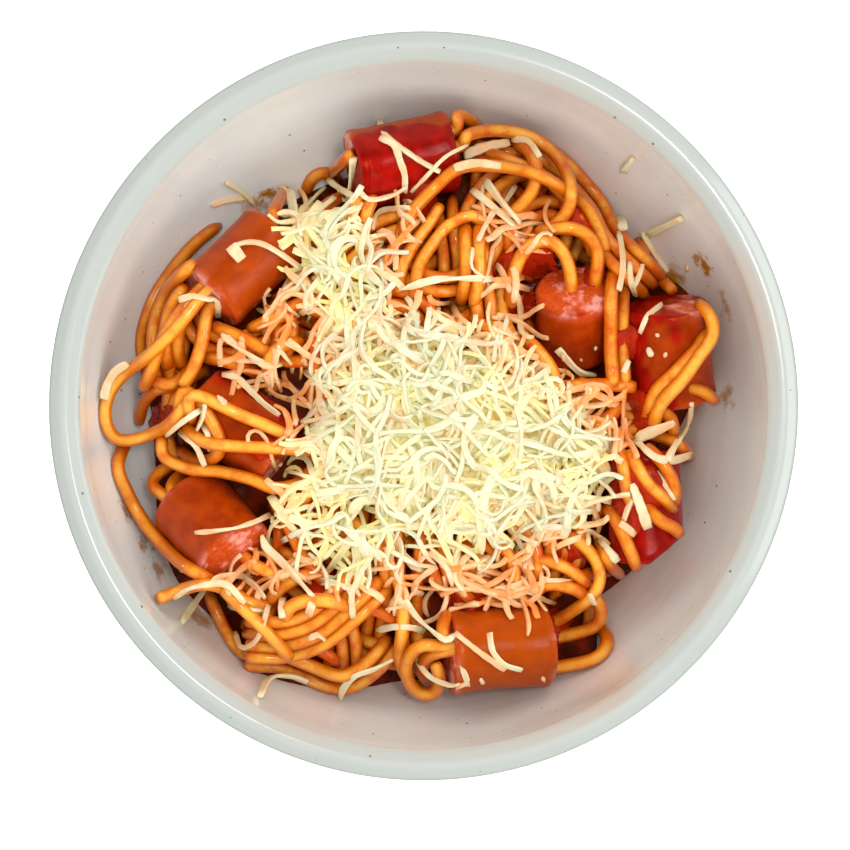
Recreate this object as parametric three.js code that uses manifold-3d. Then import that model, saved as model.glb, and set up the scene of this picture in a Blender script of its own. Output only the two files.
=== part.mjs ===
// A stoneware bowl of spaghetti threaded through pieces of frankfurter, in tomato sauce, under a
// heap of grated cheese. Millimetres, +Z up, origin at the middle of the underside of the foot.
import * as THREE from "three";
import { mergeVertices } from "three/addons/utils/BufferGeometryUtils.js";
import Module from "manifold-3d";

// The bowl: straight sides that curve in to a small foot.
const BOWL_HEIGHT = 60;
const RIM_RADIUS = 80;
const INNER_RADIUS = 73.4;
const SHOULDER_HEIGHT = 56;
const FLOOR_HEIGHT = 7;
const OUTSIDE_BOTTOM = 1;
const FOOT_RADIUS = 44;
const FOOT_WIDTH = 5.5;
const FOOT_RECESS = 2.5;
const FOOT_BEVEL = 0.8;
const WALL_CURVE = 3; // exponent of the superellipse that both faces of the wall follow
const WALL_STEPS = 8;
const RIM_STEPS = 6;
const BOWL_SEGMENTS = 36;

// The heap of spaghetti: a plain core, and the strands that show on top of it.
const GAP = 0.35; // clear space between pieces that touch
const WALL_GAP = 0.8; // the same for strands along the wall, whose flat facets stand in a little
const CORE_RADIUS = 60;
const CORE_TOP = 43;
const CORE_EDGE = 31; // height of the core's rim, higher on the side that it leans to
const CORE_LEAN = 4;
const CORE_LEAN_AZIMUTH = 200;
const CORE_RINGS = [0.25, 0.5, 0.72, 0.88, 1];
const STRAND_RADIUS = 1.5;
const STRAND_SIDES = 5;
const STRAND_STEP = 5.4;
const CROSSING_SINK = 0.1; // how far a strand sinks into one that it crosses
const END_DIP = 3; // how far the end of a strand goes down into the heap
const END_DIP_LENGTH = 5;
const STIFFNESS = 25; // rounds of straightening that carry a strand over small hollows
const LAY_STEP = 1.2;

// Frankfurter pieces and grated cheese.
const SAUSAGE_SIDES = 14;
const CUT_FLARE = 0.35; // the skin stands out a little at each cut end
const CUT_FACE = 0.93; // share of the radius that the flat cut takes
const FLARE_EDGE = 0.9; // from the cut to the widest place of the flare
const FLARE_LENGTH = 3.5;
const CHEESE_LIFT = 11; // height of the cheese above the core
const SHRED_WIDTH = 1.5;
const SHRED_THICKNESS = 1.1;
const HEAP_SHREDS = 30;
const SHRED_LENGTH = [8, 15];

// Plan places are what an eye above the bowl sees at the height of the rim. A point that lies lower
// is moved out along the line of sight, so that it stays behind the same plan place.
const EYE = { x: 0.3, y: -4.1, above: 500 };

const DEGREES = Math.PI / 180;
const CLAY = { color: 0xdfe2dc, roughness: 0.25, metalness: 0 };
const PASTA = { color: 0xe0912a, roughness: 0.4, metalness: 0 };
const SAUSAGE = { color: 0xb8430f, roughness: 0.3, metalness: 0 };
const CHEESE = { color: 0xece7bd, roughness: 0.55, metalness: 0 };

// Pieces of frankfurter. plan is the middle, azimuth the way the end that shows faces, tilt how far
// that end is raised and rise how far the middle lies above the core.
const SAUSAGES = {
  sausage_top: { plan: [-4.5, 52], rise: 0, azimuth: 193, tilt: 10, length: 22, radius: 9.2 },
  sausage_upper_left: { plan: [-38.5, 29.5], rise: 0, azimuth: 225, tilt: 15, length: 20, radius: 8.6 },
  sausage_upright: { plan: [32, 18.5], rise: -4, azimuth: 90, tilt: 45, length: 16, radius: 8.8 },
  sausage_far_right: { plan: [52.5, 11.5], rise: 3, azimuth: 95, tilt: 18, length: 21, radius: 9.6 },
  sausage_left_middle: { plan: [-38.5, -4.5], rise: -5, azimuth: -35, tilt: 8, length: 22, radius: 9.2 },
  sausage_lower_left: { plan: [-45, -26], rise: -0.5, azimuth: -48, tilt: 28, length: 18, radius: 9.4 },
  sausage_bottom: { plan: [16, -51.5], rise: 0, azimuth: 184, tilt: 10, length: 22, radius: 9.4 },
  sausage_lower_right: { plan: [47, -21.5], rise: 0.5, azimuth: -88, tilt: 0, length: 24, radius: 8.6 },
};

// Lobes of the cheese heap in plan: middle, half length, half width and the way the length runs.
const CHEESE_LOBES = [
  { plan: [6, -4.5], half: [34, 21], azimuth: -27 },
  { plan: [-19, 30], half: [20, 10], azimuth: -62 },
  { plan: [-15, -16], half: [18, 15], azimuth: 70 },
  { plan: [2, -25], half: [24, 9], azimuth: 0 },
  { plan: [31, -12], half: [14, 8], azimuth: -80 },
];

// Strands of spaghetti in plan, from the lowest to the highest. copies lie side by side, apart by
// that many millimetres to the left of the route, and freeStart keeps the first end in the open.
const STRANDS = [
  {
    route: [[-45, 36], [-51.5, 32], [-56, 26.5], [-59, 19.5], [-60, 12], [-58.5, 4.5]],
    copies: 3,
    apart: 3.2,
  },
  { route: [[-50.5, 22], [-54, 17], [-56, 13], [-58, 7], [-59.5, 4]] },
  { route: [[-46, 21], [-46.5, 16], [-47.5, 12], [-49, 7.5], [-51.5, 4]] },
  { route: [[-59, -6], [-65, -13], [-63, -18.5], [-60, -24], [-56, -29], [-51.5, -33.5], [-43, -39]] },
  { route: [[-48.5, 22], [-58, 11], [-65.5, 5], [-68, -1.5], [-65.5, -7.5], [-59, -6.5], [-49.5, 2]] },
  { route: [[-50.5, 0.5], [-46.5, -3], [-43.5, -7], [-44, -10.5], [-48, -12], [-52, -9.5]] },
  { route: [[-50, 1], [-47.5, 2], [-39, -2], [-34, -4], [-28, -7]] },
  { route: [[-51, -4.5], [-47, -7.5], [-41.5, -8.5], [-32.5, -9], [-23.5, -9.5]] },
  { route: [[-56, -7], [-55, -11], [-49.5, -13.5], [-43.5, -14], [-37, -15.5], [-31.5, -17.5]] },
  {
    route: [[-56.5, -41], [-53.5, -40], [-49.5, -38.5], [-45.5, -38], [-41, -39.5], [-37, -42], [-33, -43]],
    freeStart: true,
  },
  { route: [[-43, -39], [-38, -43.5], [-33, -48.5], [-28.5, -53.5]] },
  { route: [[-29.5, -46], [-28.5, -43], [-25, -41.5], [-20.5, -41.5], [-15.5, -43]] },
  { route: [[-38, -55.5], [-31.5, -55.5], [-26, -57.5], [-19.5, -60], [-14.5, -59.5], [-5.5, -51.5]] },
  {
    route: [[-37.5, -53.5], [-29.5, -53.5], [-21.5, -51], [-15, -46], [-7.5, -39]],
    copies: 3,
    apart: 3.1,
  },
  { route: [[-6.5, -34], [-4.5, -40.5], [-4.5, -47.5], [-5, -53], [-4, -57.5]] },
  { route: [[5.5, -50], [-2.5, -52], [-4, -56], [-2.5, -60], [0.5, -62], [3, -61], [2.5, -55]] },
  { route: [[31, -27.5], [35, -30.5], [37.5, -34.5], [37.5, -38.5], [34.5, -42], [30, -44.5]] },
  { route: [[36, -40], [38, -43], [37.5, -46], [34, -49], [30, -49.5]] },
  { route: [[37.5, -47], [39.5, -50], [38, -53], [34.5, -55], [30, -55.5]] },
  { route: [[38.5, -22.5], [41.5, -26.5], [44, -31], [45, -36.5]], copies: 2, apart: 5.1 },
  { route: [[41, -6], [42.5, -13.5], [43.5, -19], [44, -24]] },
  { route: [[42, -4], [45.5, -12], [49, -17.5], [53.5, -23], [57.5, -30]] },
  { route: [[41, 24], [41.5, 16], [41, 10.5], [40.5, 1]], copies: 2, apart: 3.1 },
  {
    route: [[56, 28], [61, 20.5], [60, 14], [56, 8.5], [51.5, 4], [49, -2], [47.5, -8]],
    copies: 2,
    apart: -3.1,
  },
  {
    route: [[24, 56.5], [29.5, 52.5], [33.5, 48.5], [38, 43], [40.5, 38], [44.5, 33.5], [51, 27.5]],
    copies: 2,
    apart: -3.1,
  },
  { route: [[3.5, 54.5], [7.5, 57], [13.5, 58.5], [20.5, 58], [26.5, 55], [31, 48], [23, 35.5]] },
  { route: [[-4.5, 35.5], [-2.5, 41], [2, 46], [7.5, 50.5], [14.5, 51], [21.5, 50], [27.5, 47.5]] },
  { route: [[-5.5, 24], [-4.5, 29.5], [-2, 34.5], [1, 38.5], [3.5, 42.5]] },
  { route: [[9, 38.5], [9, 33], [9, 27.5], [8, 22]], copies: 2, apart: 3.1 },
  { route: [[18.5, 21.5], [19, 27], [20.5, 32], [23.5, 35], [27, 35.5], [30, 32.5], [31.5, 29]] },
  { route: [[24.5, 37], [29, 38], [33.5, 37.5], [37, 34], [37.5, 29.5]] },
];

// Shreds of cheese that fell beside the heap, on the strands and on pieces of sausage, in plan.
const LOOSE_SHREDS = [
  [[9, 55.5], [4, 52], [0.5, 48.5]],
  [[13, 48], [16.5, 43.5], [20.5, 39]],
  [[-5, 24.5], [4.5, 27], [14.5, 27]],
  [[41, 37], [42, 31], [41.5, 25]],
  [[46.5, -5], [50, -7], [55.5, -10]],
  [[-17.5, -61.5], [-14.5, -57.5], [-6.5, -54]],
  [[-10, -47.5], [-2, -47], [3.5, -49.5]],
  [[-34.5, -27.5], [-29.5, -34], [-23.5, -40.5]],
  [[-50, -43], [-46.5, -39], [-39, -39]],
  [[-34, -61], [-32.5, -58], [-26, -58]],
];
const SHREDS_ON_SAUSAGES = {
  sausage_top: [[[-9, 59], [-6, 55], [-2, 52]]],
  sausage_upper_left: [[[-42, 33], [-38, 34.5], [-34, 33]]],
  sausage_lower_left: [[[-48.5, -27], [-44, -26.5], [-40, -25.5]]],
  sausage_bottom: [[[9, -49], [13, -52], [17, -55.5]]],
};

const wasm = await Module();
wasm.setup();

// The same draws in every run: a 32-bit linear congruential generator.
function makeRandom(seed) {
  let state = seed;
  return (low, high) => {
    state = (Math.imul(state, 1664525) + 1013904223) >>> 0;
    return low + ((high - low) * state) / 2 ** 32;
  };
}

// A closed geometry as a solid that can be joined and cut.
function solidOf(geometry) {
  const bare = geometry.clone();
  bare.deleteAttribute("normal");
  bare.deleteAttribute("uv");
  const merged = mergeVertices(bare, 1e-4);
  const corners = merged.index.array;
  const kept = [];
  for (let i = 0; i < corners.length; i += 3) {
    const [a, b, c] = corners.slice(i, i + 3);
    if (a !== b && b !== c && c !== a) kept.push(a, b, c);
  }
  const triVerts = new Uint32Array(kept);
  const vertProperties = merged.attributes.position.array;
  return new wasm.Manifold(new wasm.Mesh({ numProp: 3, vertProperties, triVerts }));
}

// The largest body of a solid, so that no loose scrap is kept.
function largestBody(solid) {
  return solid.decompose().reduce((best, body) => (body.volume() > best.volume() ? body : best));
}

function geometryOf(solid) {
  const { vertProperties, triVerts } = solid.getMesh();
  const geometry = new THREE.BufferGeometry();
  geometry.setAttribute("position", new THREE.Float32BufferAttribute(vertProperties, 3));
  geometry.setIndex(new THREE.BufferAttribute(triVerts, 1));
  geometry.computeVertexNormals();
  return geometry;
}

function turned(profile, segments) {
  const points = profile.map(([r, z]) => new THREE.Vector2(r, z));
  return new THREE.LatheGeometry(points, segments).rotateX(Math.PI / 2);
}

// Points along a wall face from its bottom, on the axis, up to the shoulder.
function wallFace(radius, bottom) {
  return Array.from({ length: WALL_STEPS + 1 }, (_, step) => {
    const angle = (step / WALL_STEPS) * (Math.PI / 2);
    const across = Math.sin(angle) ** (2 / WALL_CURVE);
    const left = Math.cos(angle) ** (2 / WALL_CURVE);
    return [radius * across, SHOULDER_HEIGHT - (SHOULDER_HEIGHT - bottom) * left];
  });
}

// Radius of the inside of the bowl at a height.
function insideRadius(z) {
  const left = THREE.MathUtils.clamp((SHOULDER_HEIGHT - z) / (SHOULDER_HEIGHT - FLOOR_HEIGHT), 0, 1);
  return INNER_RADIUS * (1 - left ** WALL_CURVE) ** (1 / WALL_CURVE);
}

function bowlGeometry() {
  const footInner = FOOT_RADIUS - FOOT_WIDTH;
  const foot = [
    [0, FOOT_RECESS],
    [footInner - FOOT_BEVEL, FOOT_RECESS],
    [footInner, 0],
    [FOOT_RADIUS - FOOT_BEVEL, 0],
    [FOOT_RADIUS, FOOT_BEVEL],
  ];
  const outside = wallFace(RIM_RADIUS, OUTSIDE_BOTTOM).filter(([r]) => r > FOOT_RADIUS);
  const rimHalf = (RIM_RADIUS - INNER_RADIUS) / 2;
  const rim = Array.from({ length: RIM_STEPS - 1 }, (_, step) => {
    const angle = ((step + 1) / RIM_STEPS) * Math.PI;
    const rise = (BOWL_HEIGHT - SHOULDER_HEIGHT) * Math.sin(angle);
    return [INNER_RADIUS + rimHalf + rimHalf * Math.cos(angle), SHOULDER_HEIGHT + rise];
  });
  const inside = wallFace(INNER_RADIUS, FLOOR_HEIGHT).reverse();
  return turned([...foot, ...outside, ...rim, ...inside], BOWL_SEGMENTS);
}

function coreEdge(azimuth) {
  return CORE_EDGE + CORE_LEAN * Math.cos(azimuth - CORE_LEAN_AZIMUTH * DEGREES);
}

// Height of the core's top at a place, which falls from the middle to the edge.
function coreHeight(x, y) {
  const edge = coreEdge(Math.atan2(y, x));
  const share = Math.min(Math.hypot(x, y) / CORE_RADIUS, 1);
  return edge + (CORE_TOP - edge) * (1 - share ** 2);
}

// The core: a dome that fills the bowl, raised by lift where a cutting copy is wanted.
function coreGeometry(lift) {
  const seat = wallFace(INNER_RADIUS, FLOOR_HEIGHT).slice(1, WALL_STEPS - 2).reverse();
  const rings = [
    ...CORE_RINGS.map((share) => (azimuth) => {
      const radius = share * CORE_RADIUS;
      return [radius, coreHeight(radius * Math.cos(azimuth), radius * Math.sin(azimuth)) + lift];
    }),
    ...seat.map(([r, z]) => () => [r, z + 2 * GAP]),
  ];
  const vertices = [0, 0, CORE_TOP + lift];
  rings.forEach((ring) => {
    for (let i = 0; i < BOWL_SEGMENTS; i++) {
      const azimuth = (i / BOWL_SEGMENTS) * 2 * Math.PI;
      const [r, z] = ring(azimuth);
      vertices.push(r * Math.cos(azimuth), r * Math.sin(azimuth), z);
    }
  });
  vertices.push(0, 0, FLOOR_HEIGHT + 2 * GAP);
  const last = vertices.length / 3 - 1;
  const index = [];
  for (let i = 0; i < BOWL_SEGMENTS; i++) {
    const next = (i + 1) % BOWL_SEGMENTS;
    index.push(0, 1 + i, 1 + next);
    for (let ring = 0; ring < rings.length - 1; ring++) {
      const a = 1 + ring * BOWL_SEGMENTS;
      const b = a + BOWL_SEGMENTS;
      index.push(a + i, b + i, b + next, a + i, b + next, a + next);
    }
    const bottom = 1 + (rings.length - 1) * BOWL_SEGMENTS;
    index.push(last, bottom + next, bottom + i);
  }
  const geometry = new THREE.BufferGeometry();
  geometry.setAttribute("position", new THREE.Float32BufferAttribute(vertices, 3));
  geometry.setIndex(index);
  return geometry;
}

// The true place of a plan point that lies at height z.
function seated([x, y], z) {
  const spread = (EYE.above + BOWL_HEIGHT - z) / EYE.above;
  return [EYE.x + (x - EYE.x) * spread, EYE.y + (y - EYE.y) * spread];
}

// A round profile turned and put where a piece of frankfurter lies.
function lyingPiece(profile, { plan, rise, azimuth, tilt }) {
  const z = coreHeight(...plan) + rise;
  const [x, y] = seated(plan, z);
  const piece = turned(profile, SAUSAGE_SIDES);
  piece.rotateY((90 - tilt) * DEGREES);
  piece.rotateZ(azimuth * DEGREES);
  return piece.translate(x, y, z);
}

// A piece of frankfurter, with its skin flared at both cuts.
function sausageGeometry(size) {
  const { length, radius } = size;
  const half = length / 2;
  const profile = [
    [0, -half],
    [radius * CUT_FACE, -half],
    [radius + CUT_FLARE, -half + FLARE_EDGE],
    [radius, -half + FLARE_LENGTH],
    [radius, half - FLARE_LENGTH],
    [radius + CUT_FLARE, half - FLARE_EDGE],
    [radius * CUT_FACE, half],
    [0, half],
  ];
  return lyingPiece(profile, size);
}

// The pocket in the heap that a piece of frankfurter lies in.
function pocketGeometry(size) {
  const half = size.length / 2 + GAP;
  const radius = size.radius + CUT_FLARE + GAP;
  return lyingPiece([[0, -half], [radius, -half], [radius, half], [0, half]], size);
}

// Maps of heights over the bowl, in square cells: one of all that lies there, one of the sausage alone.
const CELL = 0.75;
const REACH = 75;
const CELLS = Math.round((2 * REACH) / CELL) + 1;
const NOTHING = -1000;
const everything = new Float32Array(CELLS * CELLS).fill(NOTHING);
const sausages = new Float32Array(CELLS * CELLS).fill(NOTHING);

// Calls visit(cell, x, y) for each cell whose middle lies in a rectangle.
function eachCell(lowX, lowY, highX, highY, visit) {
  const first = (low) => Math.max(0, Math.ceil((low + REACH) / CELL));
  const end = (high) => Math.min(CELLS - 1, Math.floor((high + REACH) / CELL));
  for (let row = first(lowY); row <= end(highY); row++) {
    for (let column = first(lowX); column <= end(highX); column++) {
      visit(row * CELLS + column, column * CELL - REACH, row * CELL - REACH);
    }
  }
}

// Raises a map to the faces of a geometry, moved up by lift.
function stampGeometry(map, geometry, lift) {
  const flat = geometry.index ? geometry.toNonIndexed() : geometry;
  const corner = flat.attributes.position;
  for (let i = 0; i < corner.count; i += 3) {
    const [a, b, c] = [0, 1, 2].map((k) => new THREE.Vector3().fromBufferAttribute(corner, i + k));
    const area = (b.x - a.x) * (c.y - a.y) - (c.x - a.x) * (b.y - a.y);
    if (Math.abs(area) < 1e-6) continue;
    const xs = [a.x, b.x, c.x];
    const ys = [a.y, b.y, c.y];
    eachCell(Math.min(...xs), Math.min(...ys), Math.max(...xs), Math.max(...ys), (cell, x, y) => {
      const shareB = ((x - a.x) * (c.y - a.y) - (c.x - a.x) * (y - a.y)) / area;
      const shareC = ((b.x - a.x) * (y - a.y) - (x - a.x) * (b.y - a.y)) / area;
      if (shareB < 0 || shareC < 0 || shareB + shareC > 1) return;
      const z = a.z + shareB * (b.z - a.z) + shareC * (c.z - a.z) + lift;
      map[cell] = Math.max(map[cell], z);
    });
  }
}

// The lowest height at which the middle of a ball over (x, y) clears a map.
function restHeight(map, x, y, radius) {
  let rest = NOTHING;
  eachCell(x - radius, y - radius, x + radius, y + radius, (cell, cx, cy) => {
    const under = radius ** 2 - (cx - x) ** 2 - (cy - y) ** 2;
    if (under > 0) rest = Math.max(rest, map[cell] + Math.sqrt(under));
  });
  return rest;
}

function stampBall({ x, y, z }, radius) {
  eachCell(x - radius, y - radius, x + radius, y + radius, (cell, cx, cy) => {
    const under = radius ** 2 - (cx - x) ** 2 - (cy - y) ** 2;
    if (under > 0) everything[cell] = Math.max(everything[cell], z + Math.sqrt(under));
  });
}

function cutsWall([x, y], z, radius) {
  return Math.hypot(x, y) > insideRadius(z) - radius - WALL_GAP && z < SHOULDER_HEIGHT;
}

// Where a round thing comes to rest on a plan place: on the map, or higher up against the wall.
function restingPoint(plan, radius) {
  let z = coreHeight(...plan) + radius;
  let place = seated(plan, z);
  for (let round = 0; round < 3; round++) {
    z = Math.max(restHeight(everything, ...place, radius), FLOOR_HEIGHT);
    place = seated(plan, z);
  }
  while (cutsWall(place, z, radius)) {
    z += CELL;
    place = seated(plan, z);
  }
  return new THREE.Vector3(...place, z);
}

// A route laid over what is there: it rests on the map, bridges hollows and dips at its ends.
function laid(route, radius, { freeStart = false, dip = END_DIP } = {}) {
  const flat = new THREE.CatmullRomCurve3(route.map(([x, y]) => new THREE.Vector3(x, y, 0)));
  const count = Math.ceil(flat.getLength() / LAY_STEP);
  const points = flat.getSpacedPoints(count).map(({ x, y }) => restingPoint([x, y], radius));
  const rest = points.map(({ z }) => z);
  for (let round = 0; round < STIFFNESS; round++) {
    const before = points.map(({ z }) => z);
    for (let i = 1; i < points.length - 1; i++) {
      points[i].z = Math.max(rest[i], (before[i - 1] + before[i + 1]) / 2);
    }
  }
  points.forEach((point, i) => {
    const fromStart = freeStart ? END_DIP_LENGTH : i * LAY_STEP;
    const fromEnd = (points.length - 1 - i) * LAY_STEP;
    const share = Math.max(1 - Math.min(fromStart, fromEnd) / END_DIP_LENGTH, 0);
    point.z = Math.max(point.z - dip * share ** 2, restHeight(sausages, point.x, point.y, radius));
    while (cutsWall([point.x, point.y], point.z, radius)) point.z += CELL;
  });
  return points;
}

// Copies of a route, side by side.
function sideBySide({ route, copies = 1, apart = 0 }) {
  return Array.from({ length: copies }, (_, copy) =>
    route.map(([x, y], i) => {
      const [fromX, fromY] = route[Math.max(i - 1, 0)];
      const [toX, toY] = route[Math.min(i + 1, route.length - 1)];
      const length = Math.hypot(toX - fromX, toY - fromY);
      const shift = (copy * apart) / length;
      return [x - (toY - fromY) * shift, y + (toX - fromX) * shift];
    }),
  );
}

// A bar of the given section swept through the points.
function swept(section, points, step) {
  const path = new THREE.CatmullRomCurve3(points);
  const steps = Math.max(2, Math.round(path.getLength() / step));
  return new THREE.ExtrudeGeometry(section, { steps, extrudePath: path, bevelEnabled: false });
}

function roundSection(radius, sides) {
  const corners = Array.from({ length: sides }, (_, i) => {
    const angle = (i / sides) * 2 * Math.PI;
    return new THREE.Vector2(radius * Math.cos(angle), radius * Math.sin(angle));
  });
  return new THREE.Shape(corners);
}

function flatSection(width, thickness) {
  const [w, t] = [width / 2, thickness / 2];
  const corners = [[-w, -t], [w, -t], [w, t], [-w, t]];
  return new THREE.Shape(corners.map(([x, y]) => new THREE.Vector2(x, y)));
}

// Half length and half width of a cheese lobe at the heap's height, grown by margin, with its middle.
function lobePlace({ plan, half, azimuth }, margin = 0) {
  const z = coreHeight(...plan);
  const [x, y] = seated(plan, z);
  return { x, y, z, a: half[0] + margin, b: half[1] + margin, turn: azimuth * DEGREES };
}

// How far inside a lobe a place lies: 1 at its middle, 0 on its edge, less outside.
function depthInLobe({ x, y, a, b, turn }, px, py) {
  const along = (px - x) * Math.cos(turn) + (py - y) * Math.sin(turn);
  const across = (py - y) * Math.cos(turn) - (px - x) * Math.sin(turn);
  return 1 - (along / a) ** 2 - (across / b) ** 2;
}

function underCheese(x, y, margin) {
  return CHEESE_LOBES.some((lobe) => depthInLobe(lobePlace(lobe, margin), x, y) > 0);
}

// Height of the top of the cheese heap at a place inside it.
function cheeseTop(x, y) {
  const tops = CHEESE_LOBES.map((lobe) => {
    const place = lobePlace(lobe);
    const depth = depthInLobe(place, x, y);
    return depth > 0 ? place.z + CHEESE_LIFT * Math.sqrt(depth) : NOTHING;
  });
  return Math.max(...tops);
}

// The longest stretch of a laid route that stays clear of the cheese.
function clearOfCheese(points, margin) {
  let best = [];
  let run = [];
  points.forEach((point) => {
    run = underCheese(point.x, point.y, margin) ? [] : [...run, point];
    if (run.length > best.length) best = run;
  });
  return best;
}

function spaghettiSolid(pockets) {
  let heap = pockets.reduce((solid, pocket) => solid.subtract(pocket), solidOf(coreGeometry(0)));
  const section = roundSection(STRAND_RADIUS, STRAND_SIDES);
  const shortest = 3 * STRAND_STEP;
  STRANDS.forEach((strand) => {
    sideBySide(strand).forEach((route) => {
      const points = clearOfCheese(laid(route, STRAND_RADIUS, strand), STRAND_RADIUS + GAP);
      if (points.length * LAY_STEP < shortest) return;
      points.forEach((point) => stampBall(point, STRAND_RADIUS - CROSSING_SINK));
      heap = heap.add(solidOf(swept(section, points, STRAND_STEP)));
    });
  });
  const shredSection = flatSection(SHRED_WIDTH, SHRED_THICKNESS);
  LOOSE_SHREDS.forEach((route) => {
    const points = clearOfCheese(laid(route, SHRED_THICKNESS / 2, { dip: 0 }), 2 * SHRED_WIDTH);
    if (points.length > 2) heap = heap.add(solidOf(swept(shredSection, points, STRAND_STEP)));
  });
  return largestBody(pockets.reduce((solid, pocket) => solid.subtract(pocket), heap));
}

function cheeseSolid(pockets) {
  const lobes = CHEESE_LOBES.map((lobe) => {
    const { x, y, z, a, b, turn } = lobePlace(lobe);
    const ball = new THREE.SphereGeometry(1, 14, 7).scale(a, b, CHEESE_LIFT);
    return solidOf(ball.rotateZ(turn).translate(x, y, z));
  });
  let heap = lobes.reduce((solid, lobe) => solid.add(lobe));
  const random = makeRandom(7);
  const section = flatSection(SHRED_WIDTH, SHRED_THICKNESS);
  for (let made = 0; made < HEAP_SHREDS; ) {
    const lobe = lobePlace(CHEESE_LOBES[made % CHEESE_LOBES.length]);
    const x = lobe.x + random(-1, 1) * lobe.a;
    const y = lobe.y + random(-1, 1) * lobe.a;
    const length = random(...SHRED_LENGTH);
    const turn = random(0, Math.PI);
    const bend = random(-2.5, 2.5);
    const route = [-0.5, 0, 0.5].map((share) => [
      x + share * length * Math.cos(turn) - (0.25 - share ** 2) * bend * Math.sin(turn),
      y + share * length * Math.sin(turn) + (0.25 - share ** 2) * bend * Math.cos(turn),
    ]);
    if (!route.every(([px, py]) => underCheese(px, py, -SHRED_WIDTH))) continue;
    const points = route.map(([px, py]) => new THREE.Vector3(px, py, cheeseTop(px, py)));
    heap = heap.add(solidOf(swept(section, points, length / 2)));
    made += 1;
  }
  const cut = pockets.reduce((solid, pocket) => solid.subtract(pocket), heap);
  return largestBody(cut.subtract(solidOf(coreGeometry(GAP))));
}

// A piece of frankfurter with the shreds of cheese that lie on it.
function sausageSolid(name, size) {
  const section = flatSection(SHRED_WIDTH, SHRED_THICKNESS);
  const shreds = (SHREDS_ON_SAUSAGES[name] ?? []).map((route) => {
    const points = laid(route, SHRED_THICKNESS / 2, { dip: GAP });
    points.forEach((point) => point.z -= GAP + SHRED_THICKNESS / 4);
    return solidOf(swept(section, points, STRAND_STEP));
  });
  const piece = solidOf(sausageGeometry(size));
  return largestBody(shreds.reduce((solid, shred) => solid.add(shred), piece));
}

function named(name, geometry, finish) {
  const mesh = new THREE.Mesh(geometry, new THREE.MeshStandardMaterial(finish));
  mesh.name = name;
  return mesh;
}

const group = new THREE.Group();
group.add(named("bowl", bowlGeometry(), CLAY));

stampGeometry(everything, coreGeometry(0), 0);
const pockets = Object.values(SAUSAGES).map((size) => {
  stampGeometry(everything, pocketGeometry(size), 0);
  stampGeometry(sausages, pocketGeometry(size), 0);
  return solidOf(pocketGeometry(size));
});
Object.entries(SAUSAGES).forEach(([name, size]) => {
  group.add(named(name, geometryOf(sausageSolid(name, size)), SAUSAGE));
});
group.add(named("grated_cheese", geometryOf(cheeseSolid(pockets)), CHEESE));
group.add(named("spaghetti", geometryOf(spaghettiSolid(pockets)), PASTA));

export default group;
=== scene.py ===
# %% [markdown]
# A bowl of spaghetti with frankfurter, tomato sauce and grated cheese
#
# The dish is a round stoneware bowl. In it lies a heap of spaghetti that was cooked with pieces of
# frankfurter on the strands, tossed in tomato sauce and finished with a heap of grated cheese.
# A plain model with the true sizes is loaded first. Every piece below is built around it, in metres
# and with +Z up, and takes the place of the plain solid that it stands for.

# %% Load the fixed model
import math
import random

import bpy
import numpy as np
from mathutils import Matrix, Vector, noise
from mathutils.bvhtree import BVHTree


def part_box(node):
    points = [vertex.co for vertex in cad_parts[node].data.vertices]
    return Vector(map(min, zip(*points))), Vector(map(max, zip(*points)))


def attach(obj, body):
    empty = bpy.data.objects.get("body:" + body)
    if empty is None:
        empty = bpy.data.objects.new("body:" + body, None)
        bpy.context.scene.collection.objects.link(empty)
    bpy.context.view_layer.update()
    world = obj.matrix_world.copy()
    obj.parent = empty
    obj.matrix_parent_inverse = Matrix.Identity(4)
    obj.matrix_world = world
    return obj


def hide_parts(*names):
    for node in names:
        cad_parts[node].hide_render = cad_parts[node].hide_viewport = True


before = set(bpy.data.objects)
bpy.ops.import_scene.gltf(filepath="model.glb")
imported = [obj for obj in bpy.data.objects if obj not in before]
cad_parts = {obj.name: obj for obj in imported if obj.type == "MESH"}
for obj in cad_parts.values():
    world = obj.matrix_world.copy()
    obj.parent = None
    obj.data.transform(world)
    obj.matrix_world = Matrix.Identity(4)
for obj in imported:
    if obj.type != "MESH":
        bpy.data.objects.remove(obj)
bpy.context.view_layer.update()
MM = 0.001
print("plain nodes:", ", ".join(sorted(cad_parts)))

# %% [markdown]
# The photograph looks straight down from half a metre above the rim. A camera with no tilt gives
# that view, and its angle follows from how many picture widths the rim takes. The eye stands a
# little beside the middle of the bowl, so the far wall shows more than the near one.
#
# A place that is read off the picture is written as plan millimetres, which is where the line of
# sight passes the height of the rim. A thing that lies lower is moved out along that line, so it
# stays behind the same picture point at any depth.

# %% Camera
RIM_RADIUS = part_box("bowl")[1].x / MM
BOWL_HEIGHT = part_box("bowl")[1].z / MM
PICTURE_PIXELS = 850
RIM_PIXELS = 376.3  # radius of the rim in the picture
EYE_X, EYE_Y, EYE_ABOVE = 0.3, -4.1, 500.0  # the last is the height above the rim

picture_width = PICTURE_PIXELS * RIM_RADIUS / RIM_PIXELS
camera = bpy.data.objects.new("camera", bpy.data.cameras.new("camera"))
camera.data.angle = 2 * math.atan(picture_width / 2 / EYE_ABOVE)
camera.location = (EYE_X * MM, EYE_Y * MM, (BOWL_HEIGHT + EYE_ABOVE) * MM)
bpy.context.scene.collection.objects.link(camera)
bpy.context.scene.camera = camera
print("the picture is %.1f mm wide at the rim" % picture_width)


def seated(x, y, z):
    """The true place of a plan point whose thing lies at height z."""
    spread = (EYE_ABOVE + BOWL_HEIGHT - z) / EYE_ABOVE
    return EYE_X + (x - EYE_X) * spread, EYE_Y + (y - EYE_Y) * spread


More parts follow.
